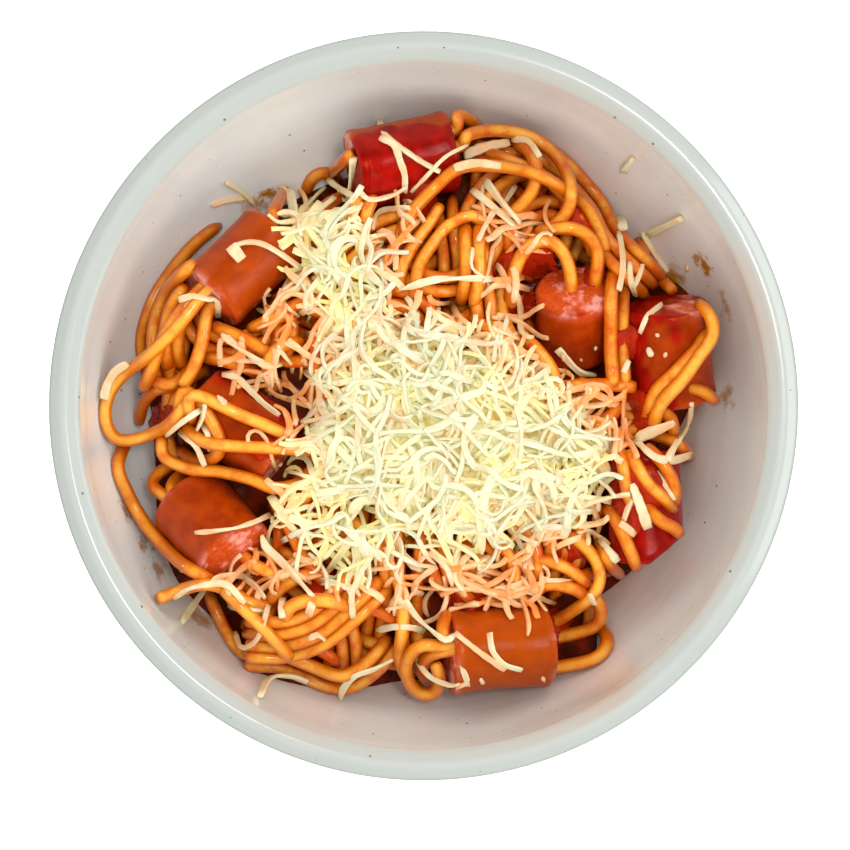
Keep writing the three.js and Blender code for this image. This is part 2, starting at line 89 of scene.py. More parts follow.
# %% [markdown]
# Three helpers serve every material. Colours are written as sRGB hex values, because that is how a
# colour picker shows them, and shaders work in linear light, so one function converts them. Another
# adds a shader node with its settings and its links, and the third starts a material.

# %% Helpers for materials
def linear(hex_colour):
    """An sRGB hex value as the linear colour that shaders use."""
    parts = [int(hex_colour[i:i + 2], 16) / 255 for i in (1, 3, 5)]
    return [c / 12.92 if c <= 0.04045 else ((c + 0.055) / 1.055) ** 2.4 for c in parts] + [1.0]


def add(tree, kind, settings=None, links=None):
    """Adds a node to a tree with its settings and links; a number picks a socket by its place."""
    node = tree.nodes.new(kind)
    for name, value in (settings or {}).items():
        if isinstance(name, int) or name in node.inputs:
            node.inputs[name].default_value = value
        else:
            setattr(node, name, value)
    for name, source in (links or {}).items():
        tree.links.new(source, node.inputs[name])
    return node


def new_material(name):
    """A material with its node tree and its shader."""
    made = bpy.data.materials.new(name)
    made.use_nodes = True
    return made, made.node_tree, made.node_tree.nodes["Principled BSDF"]


# Places of the sockets of a Mix node that mixes colours.
MIX_SHARE, MIX_FIRST, MIX_SECOND, MIX_RESULT = 0, 6, 7, 2

# %% [markdown]
# Light. The real bowl stands in a pale room between windows: light comes from all sides, while the
# one who holds the camera stands in the way of what is overhead. So the sky of the scene is bright
# up to two thirds of its height and dim above, which lights the steep wall as well as the food.
# A wide soft box on the right stands for the nearest window: its reflection makes the bright bands
# on the two slopes of the rim and the patches on what is wet, and a small lamp high beside the
# camera gives the glints along the strands. The room, a lamp overhead and two large soft boxes in
# front and behind act as fill behind polarising sheets, as studios use for food: they light what
# lies deep, soften the shadows on the wall, and leave no grey glare on what is wet.

# %% Light
SKY, ZENITH, GROUND = 0.91, 0.12, 0.3  # brightness of the room, straight above and below
SKY_TOP = 0.62, 0.92  # between these heights on the unit sphere the room gets dim
HORIZON = -0.1, 0.05  # and between these it changes from the ground to the sky


def light(name, place, size, power, aim=(0, 0, 0.04)):
    """A soft box that faces the bowl."""
    lamp = bpy.data.lights.new(name, "AREA")
    lamp.shape = "RECTANGLE"
    lamp.size, lamp.size_y = size
    lamp.energy = power
    made = bpy.data.objects.new(name, lamp)
    made.location = place
    made.rotation_euler = (Vector(aim) - Vector(place)).to_track_quat("-Z", "Y").to_euler()
    bpy.context.scene.collection.objects.link(made)
    return made


light("window", (0.85, 0.08, 0.58), (1.1, 0.42), 3.8)
front_window = light("front_window", (-0.1, -0.9, 0.75), (1.5, 0.9), 7.2)
back_window = light("back_window", (-0.1, 0.9, 0.75), (1.5, 0.9), 5.4)
light("glint", (0.2, 0.16, 1.2), (0.2, 0.14), 2.4)
overhead = light("overhead", (0, 0, 1.3), (1.2, 1.2), 7.6)
for fill in (front_window, back_window, overhead):
    fill.visible_glossy = False

world = bpy.data.worlds.new("pale_room")
world.use_nodes = True
tree = world.node_tree
direction = add(tree, "ShaderNodeTexCoord").outputs["Generated"]
upward = add(tree, "ShaderNodeSeparateXYZ", None, {"Vector": direction}).outputs["Z"]
brightness = add(tree, "ShaderNodeMapRange",
                 {"interpolation_type": "SMOOTHSTEP", "From Min": SKY_TOP[0], "From Max": SKY_TOP[1],
                  "To Min": SKY, "To Max": ZENITH}, {"Value": upward})
horizon = add(tree, "ShaderNodeMapRange",
              {"From Min": HORIZON[0], "From Max": HORIZON[1], "To Min": GROUND, "To Max": SKY},
              {"Value": upward})
brightness = add(tree, "ShaderNodeMath", {"operation": "MINIMUM"},
                 {0: brightness.outputs[0], 1: horizon.outputs[0]})
tree.nodes["Background"].inputs["Color"].default_value = (1.0, 0.99, 0.97, 1)
tree.links.new(brightness.outputs[0], tree.nodes["Background"].inputs["Strength"])
bpy.context.scene.world = world
world.cycles_visibility.glossy = False
bpy.context.scene.view_settings.view_transform = "Standard"

# %% [markdown]
# The floor is opal acrylic, lit from below just enough to be white in the picture. Its own light is
# kept off the dish, so the outer edge of the rim stays a thin grey line. It is stage, and not part
# of the dish.

# %% Floor
FLOOR_SIZE = 30.0  # metres: it reaches out of every picture

floor_mesh = bpy.data.meshes.new("floor")
corners = [(-1, -1), (1, -1), (1, 1), (-1, 1)]
floor_mesh.from_pydata([(x * FLOOR_SIZE / 2, y * FLOOR_SIZE / 2, 0) for x, y in corners], [],
                       [(0, 1, 2, 3)])
floor = bpy.data.objects.new("floor", floor_mesh)
bpy.context.scene.collection.objects.link(floor)
acrylic, tree, shader = new_material("opal_acrylic")
shader.inputs["Base Color"].default_value = linear("#B4B4B2")
shader.inputs["Roughness"].default_value = 0.6
shader.inputs["Emission Color"].default_value = (1, 1, 1, 1)
shader.inputs["Emission Strength"].default_value = 0.95
floor_mesh.materials.append(acrylic)
floor.visible_diffuse = floor.visible_glossy = False

# %% [markdown]
# The bowl. Such bowls are thrown or jiggered in stoneware clay, dipped in an off-white glaze and
# fired. The clay holds iron, which bleeds through the glaze as small dark specks. The form is a
# body of revolution, so a profile turned about the axis makes it. The wall is straight above and
# curves in to the foot: both of its faces follow a superellipse, whose exponent sets how square
# the curve is. The rim between them is trimmed with a tool on the wheel: a narrow round crest, a
# slope on each side at the same angle, and a small round edge. The slopes are what catches the
# window.

# %% Profile of the bowl
INNER_RADIUS = 73.4
SHOULDER_HEIGHT = 56.0
FLOOR_HEIGHT = 7.0
OUTSIDE_BOTTOM = 1.0
FOOT_RADIUS, FOOT_WIDTH, FOOT_RECESS = 44.0, 5.5, 2.5
WALL_CURVE = 3.0


def wall_face(radius, bottom, steps):
    """Points (r, z) along a face of the wall, from its bottom on the axis up to the shoulder."""
    angle = np.linspace(0, math.pi / 2, steps)
    across = np.sin(angle) ** (2 / WALL_CURVE)
    left = np.cos(angle).clip(0) ** (2 / WALL_CURVE)
    return np.stack([radius * across, SHOULDER_HEIGHT - (SHOULDER_HEIGHT - bottom) * left], 1)


def wall_height(radius):
    """Height of the inside of the bowl at a distance from its axis."""
    share = np.clip(radius / INNER_RADIUS, 0, 1)
    below_shoulder = (SHOULDER_HEIGHT - FLOOR_HEIGHT) * (1 - share ** WALL_CURVE) ** (1 / WALL_CURVE)
    return np.where(radius < INNER_RADIUS, SHOULDER_HEIGHT - below_shoulder, BOWL_HEIGHT)


foot_inner = FOOT_RADIUS - FOOT_WIDTH
foot = [(0, FOOT_RECESS), (foot_inner - 2.5, FOOT_RECESS), (foot_inner - 1.2, FOOT_RECESS - 0.4),
        (foot_inner - 0.3, 0.4), (foot_inner + 0.5, 0), (FOOT_RADIUS - 1.2, 0), (FOOT_RADIUS - 0.3, 0.4),
        (FOOT_RADIUS, 1.2)]
outside = [p for p in wall_face(RIM_RADIUS, OUTSIDE_BOTTOM, 60) if p[0] > FOOT_RADIUS + 0.8]
rim_middle = (RIM_RADIUS + INNER_RADIUS) / 2
RIM_SIDE = [  # distance from the middle of the rim, and fall from its top
    (3.3, 2.9), (3.27, 2.05), (3.15, 1.5), (2.9, 1.14), (2.6, 0.95), (2.3, 0.8), (1.9, 0.6),
    (1.5, 0.4), (1.15, 0.23), (0.85, 0.1), (0.5, 0.03), (0.15, 0.0),
]
rim = [(rim_middle + r, BOWL_HEIGHT - fall) for r, fall in RIM_SIDE]
rim += [(rim_middle - r, BOWL_HEIGHT - fall) for r, fall in RIM_SIDE[::-1]]
inside = wall_face(INNER_RADIUS, FLOOR_HEIGHT, 60)[::-1]
bowl_profile = np.array([*foot, *outside, *rim, *inside])
along = np.concatenate([[0], np.cumsum(np.hypot(*np.diff(bowl_profile, axis=0).T))])
crest_point = len(foot) + len(outside) + len(RIM_SIDE)
print("bowl profile of %d points" % len(bowl_profile))

# %% [markdown]
# Turning the profile. Each corner also gets a place on an unrolled plan of the surface, in metres:
# the way round and the way along the profile. The specks of the glaze are drawn on that plan, so
# that each one lies in the surface as a round spot.

# %% Turn the bowl
BOWL_SEGMENTS = 180
THROWING = 0.05  # how far the thrower's rings stand out, in millimetres
THROWN_BAND = 12, 52  # the heights between which they show
RING_WAVE, RING_LEAN = 1.9, 0.35  # radians of the wave for a millimetre up, and for a turn round
UNROLLED_RADIUS = 60  # the plan is as wide as a tube of this radius, near that of the wall


def finished(name, vertices, faces, material, replaced):
    """A piece from millimetre vertices, smooth, riding on the one body and standing for nodes."""
    mesh = bpy.data.meshes.new(name)
    mesh.from_pydata((np.asarray(vertices) * MM).tolist(), [], faces)
    mesh.polygons.foreach_set("use_smooth", [True] * len(mesh.polygons))
    mesh.materials.append(material)
    piece = bpy.data.objects.new(name, mesh)
    bpy.context.scene.collection.objects.link(piece)
    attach(piece, "root")
    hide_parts(*replaced)
    return piece


def attribute(piece, name, values):
    """Stores one number for each vertex of a piece, for its material to read."""
    stored = piece.data.attributes.new(name, "FLOAT", "POINT")
    stored.data.foreach_set("value", np.asarray(values, np.float32))


def turned(profile, segments):
    """Vertices and faces of a profile (r, z) turned about the axis; its ends lie on the axis."""
    inner = profile[1:-1]
    count = len(inner)
    vertices = []
    for i in range(segments):
        turn = 2 * math.pi * i / segments
        for r, z in inner:
            ring = THROWING * math.sin(z * RING_WAVE + RING_LEAN * turn)
            radius = r + (ring if THROWN_BAND[0] < z < THROWN_BAND[1] else 0)
            vertices.append((radius * math.cos(turn), radius * math.sin(turn), z))
    first, last = len(vertices), len(vertices) + 1
    vertices += [(0, 0, profile[0][1]), (0, 0, profile[-1][1])]
    faces = []
    for i in range(segments):
        a, b = i * count, (i + 1) % segments * count
        faces += [(a + k, b + k, b + k + 1, a + k + 1) for k in range(count - 1)]
        faces += [(first, b, a), (last, a + count - 1, b + count - 1)]
    return vertices, faces


# %% [markdown]
# The glaze. An iron-speckled dolomite glaze on stoneware is smooth, glossy and slightly cool in
# tone. What gives it away is the specks, sparse and a third of a millimetre wide. Each cell of a
# Voronoi pattern on the unrolled plan holds one possible speck, and a random number for each cell
# keeps only some of them. The crest of the rim is painted greyer, as painted shade where it faces
# the dim room above, and the shoulder below it a little lighter than the wall, as painted light.
# Dried smears of sauce sit on the inside where food touched the wall: each is a ragged spot about a
# named place, and one of these spots is a painted shadow. All round the food the wall is painted
# warmer and darker, up to two centimetres from it on the side where the heap is lowest: painted
# shade, and the warm light that the food throws on the wall.

# %% Speckled stoneware glaze
SPECK_CELL = 8 * MM
SPECK_RADIUS = 0.22 * MM
SPECKS_KEPT = 0.42
# Along the profile from the middle of the crest: where the painted lighter tone of the shoulder
# gives way to that of the wall, and where the painted shade of the crest fades on the inside and on
# the outside.
LIT_SHOULDER_TO_WALL, CREST_SHADE_INSIDE, CREST_SHADE_OUTSIDE = (6, 13), (3, 5), (-5, -9)
HALF_WAY_UP = 30.0
# Smears of sauce, and one painted shadow, in plan millimetres with their sizes; the last number is
# how strong they are.
SMEARS_AND_SHADOW = [
    ((60.2, 29.6), 2.2, 0.75), ((61.4, 33.5), 1.5, 0.6), ((64.2, 21.2), 2.4, 0.5),
    ((53.2, 27.2), 3.2, 0.8), ((-63.5, -21.5), 2.6, 0.7), ((-59.2, -29.5), 2.4, 0.6),
    ((-56.2, -35), 2.6, 0.55), ((-33, 45.2), 2.0, 0.8), ((-36.6, 42.3), 2.6, 0.6),
    # The spot at (-1, -58.5) is painted shadow, not a smear.
    ((-47, -45.2), 3.2, 0.6), ((-1, -58.5), 4.0, 0.75), ((64.5, 1.8), 2.4, 0.55),
]

glaze, tree, shader = new_material("speckled_stoneware_glaze")
place = add(tree, "ShaderNodeTexCoord").outputs["Object"]
plan = add(tree, "ShaderNodeUVMap", {"uv_map": "unrolled"}).outputs["UV"]
cells = add(tree, "ShaderNodeTexVoronoi", {"voronoi_dimensions": "2D", "Scale": 1 / SPECK_CELL},
            {"Vector": plan})
chosen = add(tree, "ShaderNodeMath", {"operation": "LESS_THAN", 1: SPECKS_KEPT},
             {0: add(tree, "ShaderNodeSeparateColor", None,
                     {"Color": cells.outputs["Color"]}).outputs[0]})
speck_size = add(tree, "ShaderNodeMapRange",
                 {"To Min": 0.35 * SPECK_RADIUS / SPECK_CELL, "To Max": 1.3 * SPECK_RADIUS / SPECK_CELL},
                 {"Value": add(tree, "ShaderNodeSeparateColor", None,
                               {"Color": cells.outputs["Color"]}).outputs[1]})
speck = add(tree, "ShaderNodeMath", {"operation": "LESS_THAN"},
            {0: cells.outputs["Distance"], 1: speck_size.outputs[0]})
speck = add(tree, "ShaderNodeMath", {"operation": "MULTIPLY"},
            {0: speck.outputs[0], 1: chosen.outputs[0]})
cloud = add(tree, "ShaderNodeTexNoise", {"Scale": 1 / (26 * MM), "Detail": 3.0}, {"Vector": place})
height = add(tree, "ShaderNodeSeparateXYZ", None, {"Vector": place}).outputs["Z"]
down_profile = add(tree, "ShaderNodeSeparateXYZ", None, {"Vector": plan}).outputs["Y"]
below_lit_shoulder, inward, outward = [
    add(tree, "ShaderNodeMapRange",
        {"From Min": (along[crest_point] + start) * MM, "From Max": (along[crest_point] + stop) * MM},
        {"Value": down_profile}) for start, stop in (LIT_SHOULDER_TO_WALL, CREST_SHADE_INSIDE, CREST_SHADE_OUTSIDE)]
# Painted light: the shoulder under the rim is a little lighter than the wall below it.
ground = add(tree, "ShaderNodeMix", {"data_type": "RGBA", MIX_FIRST: linear("#EEF1EC"),
                                     MIX_SECOND: linear("#E9EDE8")}, {MIX_SHARE: below_lit_shoulder.outputs[0]})
# Painted shade: the crest of the rim is greyer, as it faces the dim room above.
off_crest_shade = add(tree, "ShaderNodeMath", {"operation": "MAXIMUM"},
                {0: inward.outputs[0], 1: outward.outputs[0]})
ground = add(tree, "ShaderNodeMix", {"data_type": "RGBA", MIX_FIRST: linear("#AAB0AB")},
             {MIX_SHARE: off_crest_shade.outputs[0], MIX_SECOND: ground.outputs[MIX_RESULT]})
shade = add(tree, "ShaderNodeMapRange", {"From Min": 0.3, "From Max": 0.7, "To Max": 0.12},
            {"Value": cloud.outputs["Fac"]})
ragged = add(tree, "ShaderNodeTexNoise", {"Scale": 1 / (3 * MM), "Detail": 5.0, "Roughness": 0.65},
             {"Vector": place})
ragged = add(tree, "ShaderNodeMapRange", {"From Min": 0.3, "From Max": 0.7, "To Min": -2.4 * MM,
                                          "To Max": 2.4 * MM}, {"Value": ragged.outputs["Fac"]})
smears_and_shadow = None
for (mark_x, mark_y), mark_radius, strength in SMEARS_AND_SHADOW:
    mark_z = HALF_WAY_UP
    for _ in range(8):  # the height and the place depend on each other, so they are found in turns
        spot_x, spot_y = seated(mark_x, mark_y, mark_z)
        mark_z = float(wall_height(np.hypot(spot_x, spot_y)))
    distance = add(tree, "ShaderNodeVectorMath",
                   {"operation": "DISTANCE", 1: (spot_x * MM, spot_y * MM, mark_z * MM)}, {0: place})
    distance = add(tree, "ShaderNodeMath", {"operation": "ADD"},
                   {0: distance.outputs["Value"], 1: ragged.outputs[0]})
    spot = add(tree, "ShaderNodeMapRange",
               {"From Min": 1.25 * mark_radius * MM, "From Max": 0.3 * mark_radius * MM,
                "To Max": min(1, 1.35 * strength)}, {"Value": distance.outputs[0]})
    smears_and_shadow = spot if smears_and_shadow is None else add(tree, "ShaderNodeMath", {"operation": "MAXIMUM"},
                                               {0: smears_and_shadow.outputs[0], 1: spot.outputs[0]})
# Painted shade near the food, stored on the bowl as a number for each vertex.
warm_shade = add(tree, "ShaderNodeAttribute", {"attribute_name": "warm_shade"}).outputs["Fac"]
uneven_warm_shade = add(tree, "ShaderNodeMapRange",
                 {"From Min": 0.3, "From Max": 0.7, "To Min": 0.45, "To Max": 1.0},
                 {"Value": cloud.outputs["Fac"]})
warm_shade = add(tree, "ShaderNodeMath", {"operation": "MULTIPLY"}, {0: warm_shade, 1: uneven_warm_shade.outputs[0]})
foot_bare = add(tree, "ShaderNodeMapRange",
                {"From Min": 0.5 * MM, "From Max": 0.9 * MM, "To Min": 1.0, "To Max": 0.0},
                {"Value": height})
# From the lowest layer up: clouds in the glaze, specks, painted warm shade near the food, dried
# smears with one painted shadow, and bare clay at the foot.
for layer, share in (("#BDB9AE", shade), ("#6E5E50", speck), ("#BC7444", warm_shade), ("#B07216", smears_and_shadow),
                     ("#B49E84", foot_bare)):
    ground = add(tree, "ShaderNodeMix", {"data_type": "RGBA", MIX_SECOND: linear(layer)},
                 {MIX_SHARE: share.outputs[0], MIX_FIRST: ground.outputs[MIX_RESULT]})
rough = add(tree, "ShaderNodeMapRange", {"To Min": 0.16, "To Max": 0.75}, {"Value": foot_bare.outputs[0]})
dimple = add(tree, "ShaderNodeTexNoise", {"Scale": 1 / (5 * MM), "Detail": 2.0}, {"Vector": place})
bump = add(tree, "ShaderNodeBump", {"Strength": 0.08, "Distance": 0.3 * MM},
           {"Height": dimple.outputs["Fac"]})
tree.links.new(ground.outputs[MIX_RESULT], shader.inputs["Base Color"])
tree.links.new(rough.outputs[0], shader.inputs["Roughness"])
tree.links.new(bump.outputs["Normal"], shader.inputs["Normal"])
shader.inputs["IOR"].default_value = 1.6

vertices, faces = turned(bowl_profile, BOWL_SEGMENTS)
bowl_vertices = np.array(vertices)
bowl = finished("bowl_stoneware", vertices, faces, glaze, ["bowl"])
unrolled = bowl.data.uv_layers.new(name="unrolled")
for polygon in bowl.data.polygons:
    middle = math.atan2(polygon.center.y, polygon.center.x)
    for corner in polygon.loop_indices:
        vertex = bowl.data.loops[corner].vertex_index
        x, y, z = vertices[vertex]
        turn = math.atan2(y, x)
        turn += 2 * math.pi * round((middle - turn) / (2 * math.pi))
        on_profile = along[vertex % (len(bowl_profile) - 2) + 1] if vertex < len(vertices) - 2 else 0
        unrolled.data[corner].uv = (turn * UNROLLED_RADIUS * MM, on_profile * MM)
print("bowl:", len(bowl.data.polygons), "faces")

# %% [markdown]
# Frankfurter pieces. A frankfurter is a fine pink meat paste in a thin smoked skin. Cut raw, threaded
# on dry spaghetti and boiled, each piece swells, its skin curls back at the cuts, and the strands
# stand out of both cut faces. Where a piece lies and how large it is comes from its plain solid:
# the two flat cuts are its largest flat faces, so they give its axis, length and radius.

# %% Measure the plain pieces
CUT_SHARE = 0.93  # radius of the flat cut as a share of the piece's radius


def measured(node):
    """Centre, axis, half length and radius of a plain piece, in millimetres."""
    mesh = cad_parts[node].data
    normals = np.array([p.normal for p in mesh.polygons])
    areas = np.array([p.area for p in mesh.polygons]) / MM ** 2
    centres = np.array([p.center for p in mesh.polygons]) / MM
    alike = normals @ normals.T > 0.999
    axis = normals[np.argmax(alike @ areas)]
    if axis[2] < 0:
        axis = -axis
    ends = [(normals @ axis > 0.999), (normals @ axis < -0.999)]
    front, back = [(centres[e] * areas[e, None]).sum(0) / areas[e].sum() for e in ends]
    cut_radius = math.sqrt(areas[ends[0]].sum() / math.pi)
    return (front + back) / 2, axis, np.linalg.norm(front - back) / 2, cut_radius / CUT_SHARE


SAUSAGE_NODES = sorted(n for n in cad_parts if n.startswith("sausage_"))
pieces = {node: measured(node) for node in SAUSAGE_NODES}
for node, (centre, axis, half, radius) in pieces.items():
    print("%s: length %.1f mm, radius %.1f mm" % (node, 2 * half, radius))

# %% [markdown]
# The skin and the cut are one closed mesh: a profile turned about the axis, with every vertex moved
# a little by smooth noise, so that no piece is a true cylinder. The skin stands out as a lip at
# each cut, and the cut face bulges. One piece was cut on the slant where it meets the wall. Two
# numbers go with each vertex: how far it belongs to the cut, and how thick the sauce lies on it.
# Each piece has its own side on which the sauce gathers. A third number is the same all over a
# piece: how amber its skin is, because smoke doesn't colour all of them alike.

# %% Frankfurter pieces
SAUSAGE_SEGMENTS = 64
SAUCE_ON_SAUSAGE = {  # how much sauce, and towards which side it lies
    "sausage_top": (0.85, (0.15, -1.0, 0.2)), "sausage_far_right": (0.6, (-0.8, 0.6, 0.0)),
    "sausage_lower_right": (0.85, (-0.2, 1.0, 0.3)), "sausage_left_middle": (0.35, (0.2, 1.0, 0.0)),
    "sausage_upright": (0.22, (-0.5, 0.3, 1.0)), "sausage_upper_left": (0.05, (0.6, -0.8, 0.0)),
    "sausage_lower_left": (0.12, (0.2, -0.6, 0.0)), "sausage_bottom": (0.10, (0.3, 1.0, 0.0)),
}
AMBER = {  # how much lighter and more orange the skin is
    "sausage_top": 0.3, "sausage_upper_left": 0.25, "sausage_left_middle": 0.1, "sausage_lower_left": 0.1,
    "sausage_bottom": 0.45, "sausage_far_right": 0.05, "sausage_lower_right": 0.0, "sausage_upright": 0.0,
}
# The lip counts partly as cut, so the painted highlight of the cut reaches it too.
LIP = [  # how far it stands past the plain cut, share of the radius, how far it belongs to the cut
    (0.9, 0.0, 1.0), (0.85, 0.3, 1.0), (0.6, 0.55, 1.0), (0.25, 0.75, 1.0), (0.1, 0.84, 1.0),
    (0.35, 0.905, 0.9), (0.3, 0.955, 0.7), (-0.1, 1.0, 0.35), (-0.8, 1.03, 0.1), (-1.8, 1.02, 0.0),
    (-3.2, 0.995, 0.0), (-5.0, 0.985, 0.0),
]
# The end of a piece and the side on which its cut falls back, and how steeply.
SLANT_CUT = {"sausage_lower_right": ((0, -1, 0), (1, 0, 0), 0.7)}


def frankfurter(node, sauce, sauce_side):
    """Vertices, faces, cut shares and sauce of a piece."""
    centre, axis, half, radius = pieces[node]
    slant_end, slant_side, steepness = SLANT_CUT.get(node, ((0, 0, 0), (0, 0, 0), 0))
    side = np.cross([0, 0, 1.0], axis)
    side /= np.linalg.norm(side)
    up = np.cross(axis, side)
    rows = []  # along the axis, radius, how far it belongs to the cut
    for end in (-1, 1):
        rows.append([(end * (half + past), r * radius, c) for past, r, c in LIP])
    lip_end, skin_share, _ = LIP[-1]
    inner = [(s, skin_share * radius, 0.0)
             for s in np.linspace(-half - lip_end, half + lip_end, 9)[1:-1]]
    profile = rows[0] + inner + rows[1][::-1]
    seed = Vector((3.1 * SAUSAGE_NODES.index(node), 7.7, 1.3))
    towards = np.array(sauce_side) / np.linalg.norm(sauce_side)
    vertices, cuts, sauces = [], [], []
    for s, r, cut in profile:
        for i in range(SAUSAGE_SEGMENTS if r > 0 else 1):
            turn = 2 * math.pi * i / SAUSAGE_SEGMENTS
            out = math.cos(turn) * side + math.sin(turn) * up
            at = Vector(out) * r + Vector(axis) * s
            swell = 1 + 0.03 * noise.noise(at * 0.09 + seed) + 0.008 * noise.noise(at * 0.5 + seed)
            slant = 0.7 * noise.noise(Vector(out) * 0.9 + seed) * (r / radius) * abs(s) / half
            if cut > 0.5:
                slant += 0.12 * noise.noise(at * 0.7 + seed)
            if s * float(axis @ slant_end) > 0:
                slant -= steepness * max(0.0, r * float(out @ slant_side)) * abs(s) / half
            moved = centre + out * r * swell + axis * (s + slant * math.copysign(1, s))
            vertices.append(moved)
            cuts.append(cut)
            blot = noise.noise(Vector(moved) * 0.16) + 0.5 * noise.noise(Vector(moved) * 0.4)
            facing = float((out + (cut > 0.5) * math.copysign(1, s) * axis) @ towards)
            sauces.append(sauce - 0.1 + 0.45 * facing * min(1, sauce * 2) + 0.45 * blot)
    faces = []
    start = 1
    for row in range(1, len(profile) - 2):
        for i in range(SAUSAGE_SEGMENTS):
            j = (i + 1) % SAUSAGE_SEGMENTS
            a, b = start + i, start + j
            faces.append((a, b, b + SAUSAGE_SEGMENTS, a + SAUSAGE_SEGMENTS))
        start += SAUSAGE_SEGMENTS
    last = len(vertices) - 1
    for i in range(SAUSAGE_SEGMENTS):
        j = (i + 1) % SAUSAGE_SEGMENTS
        faces.append((0, 1 + j, 1 + i))
        faces.append((last, start + i, start + j))
    return vertices, faces, cuts, sauces


# %% [markdown]
# The skin is smoked and boiled collagen, orange-brown and tight. The cut is pink, matt and faintly
# grained, as fat and meat were ground together. Pale pink patches on the cut, and on the lip beside
# it, are painted highlights. Light goes some way into both, which a little subsurface scattering
# gives. The tomato sauce on it is a thin film, deep red and glossier than the skin. Broth and oil lie
# over all of it as a clear wet coat. The coat is dented every millimetre or two, which breaks the
# reflections up into short glints.

# %% Frankfurter skin, cut and sauce film
sausage_skin, tree, shader = new_material("frankfurter_skin_and_cut")
place = add(tree, "ShaderNodeTexCoord").outputs["Object"]
cut = add(tree, "ShaderNodeAttribute", {"attribute_name": "cut"}).outputs["Fac"]
sauce = add(tree, "ShaderNodeAttribute", {"attribute_name": "sauce"}).outputs["Fac"]
mottle = add(tree, "ShaderNodeTexNoise", {"Scale": 1 / (4 * MM), "Detail": 4.0}, {"Vector": place})
mottle = add(tree, "ShaderNodeMapRange", {"From Min": 0.35, "From Max": 0.65},
             {"Value": mottle.outputs["Fac"]})
skin = add(tree, "ShaderNodeMix", {"data_type": "RGBA", MIX_FIRST: linear("#8A2402"),
                                   MIX_SECOND: linear("#A63803")}, {MIX_SHARE: mottle.outputs[0]})
amber = add(tree, "ShaderNodeAttribute", {"attribute_name": "amber"}).outputs["Fac"]
skin = add(tree, "ShaderNodeMix", {"data_type": "RGBA", MIX_SECOND: linear("#B65206")},
           {MIX_SHARE: amber, MIX_FIRST: skin.outputs[MIX_RESULT]})
grain = add(tree, "ShaderNodeTexNoise", {"Scale": 1 / (0.9 * MM), "Detail": 3.0}, {"Vector": place})
grain = add(tree, "ShaderNodeMapRange", {"From Min": 0.35, "From Max": 0.7},
            {"Value": grain.outputs["Fac"]})
meat = add(tree, "ShaderNodeMix", {"data_type": "RGBA", MIX_FIRST: linear("#B8400E"),
                                   MIX_SECOND: linear("#CC5424")}, {MIX_SHARE: grain.outputs[0]})
# Painted highlight: pale pink patches on the cut.
painted_sheen = add(tree, "ShaderNodeTexNoise", {"Scale": 1 / (4.5 * MM), "Detail": 4.0, "Roughness": 0.6},
           {"Vector": place})
painted_sheen = add(tree, "ShaderNodeMapRange", {"From Min": 0.5, "From Max": 0.63, "To Max": 0.8},
           {"Value": painted_sheen.outputs["Fac"]})
meat = add(tree, "ShaderNodeMix", {"data_type": "RGBA", MIX_SECOND: linear("#ECA89A")},
           {MIX_SHARE: painted_sheen.outputs[0], MIX_FIRST: meat.outputs[MIX_RESULT]})
colour = add(tree, "ShaderNodeMix", {"data_type": "RGBA"},
             {MIX_SHARE: cut, MIX_FIRST: skin.outputs[MIX_RESULT], MIX_SECOND: meat.outputs[MIX_RESULT]})
coated = add(tree, "ShaderNodeMapRange", {"From Min": 0.42, "From Max": 0.62}, {"Value": sauce})
film = add(tree, "ShaderNodeMix", {"data_type": "RGBA", MIX_FIRST: linear("#7C0602"),
                                   MIX_SECOND: linear("#A41004")}, {MIX_SHARE: mottle.outputs[0]})
colour = add(tree, "ShaderNodeMix", {"data_type": "RGBA"},
             {MIX_SHARE: coated.outputs[0], MIX_FIRST: colour.outputs[MIX_RESULT],
              MIX_SECOND: film.outputs[MIX_RESULT]})
wetness = add(tree, "ShaderNodeMapRange", {"To Min": 0.36, "To Max": 0.24}, {"Value": coated.outputs[0]})
wrinkle = add(tree, "ShaderNodeTexNoise", {"Scale": 1 / (0.7 * MM), "Detail": 4.0, "Roughness": 0.6},
              {"Vector": place})
bump = add(tree, "ShaderNodeBump", {"Strength": 0.35, "Distance": 0.12 * MM},
           {"Height": wrinkle.outputs["Fac"]})
tree.links.new(colour.outputs[MIX_RESULT], shader.inputs["Base Color"])
tree.links.new(wetness.outputs[0], shader.inputs["Roughness"])
tree.links.new(bump.outputs["Normal"], shader.inputs["Normal"])
dents = add(tree, "ShaderNodeTexNoise", {"Scale": 1 / (1.6 * MM), "Detail": 4.0, "Roughness": 0.65},
            {"Vector": place})
wet_bump = add(tree, "ShaderNodeBump", {"Strength": 1.0, "Distance": 0.2 * MM},
               {"Height": dents.outputs["Fac"]})
tree.links.new(wet_bump.outputs["Normal"], shader.inputs["Coat Normal"])
shader.inputs["IOR"].default_value = 1.42
shader.inputs["Specular IOR Level"].default_value = 0.05
shader.inputs["Subsurface Weight"].default_value = 0.15
shader.inputs["Subsurface Radius"].default_value = (1.0, 0.3, 0.1)
shader.inputs["Subsurface Scale"].default_value = 1.2 * MM
shader.inputs["Coat Weight"].default_value = 0.36
shader.inputs["Coat Roughness"].default_value = 0.06

sausage_faces = {}
for node in SAUSAGE_NODES:
    vertices, faces, cuts, sauces = frankfurter(node, *SAUCE_ON_SAUSAGE[node])
    sausage_faces[node] = (vertices, faces)
    piece = finished(node.replace("sausage", "frankfurter"), vertices, faces, sausage_skin,
                     [node])
    attribute(piece, "cut", cuts)
    attribute(piece, "sauce", sauces)
    attribute(piece, "amber", np.full(len(vertices), AMBER[node]))
print(len(SAUSAGE_NODES), "pieces of frankfurter, each with", len(faces), "faces")

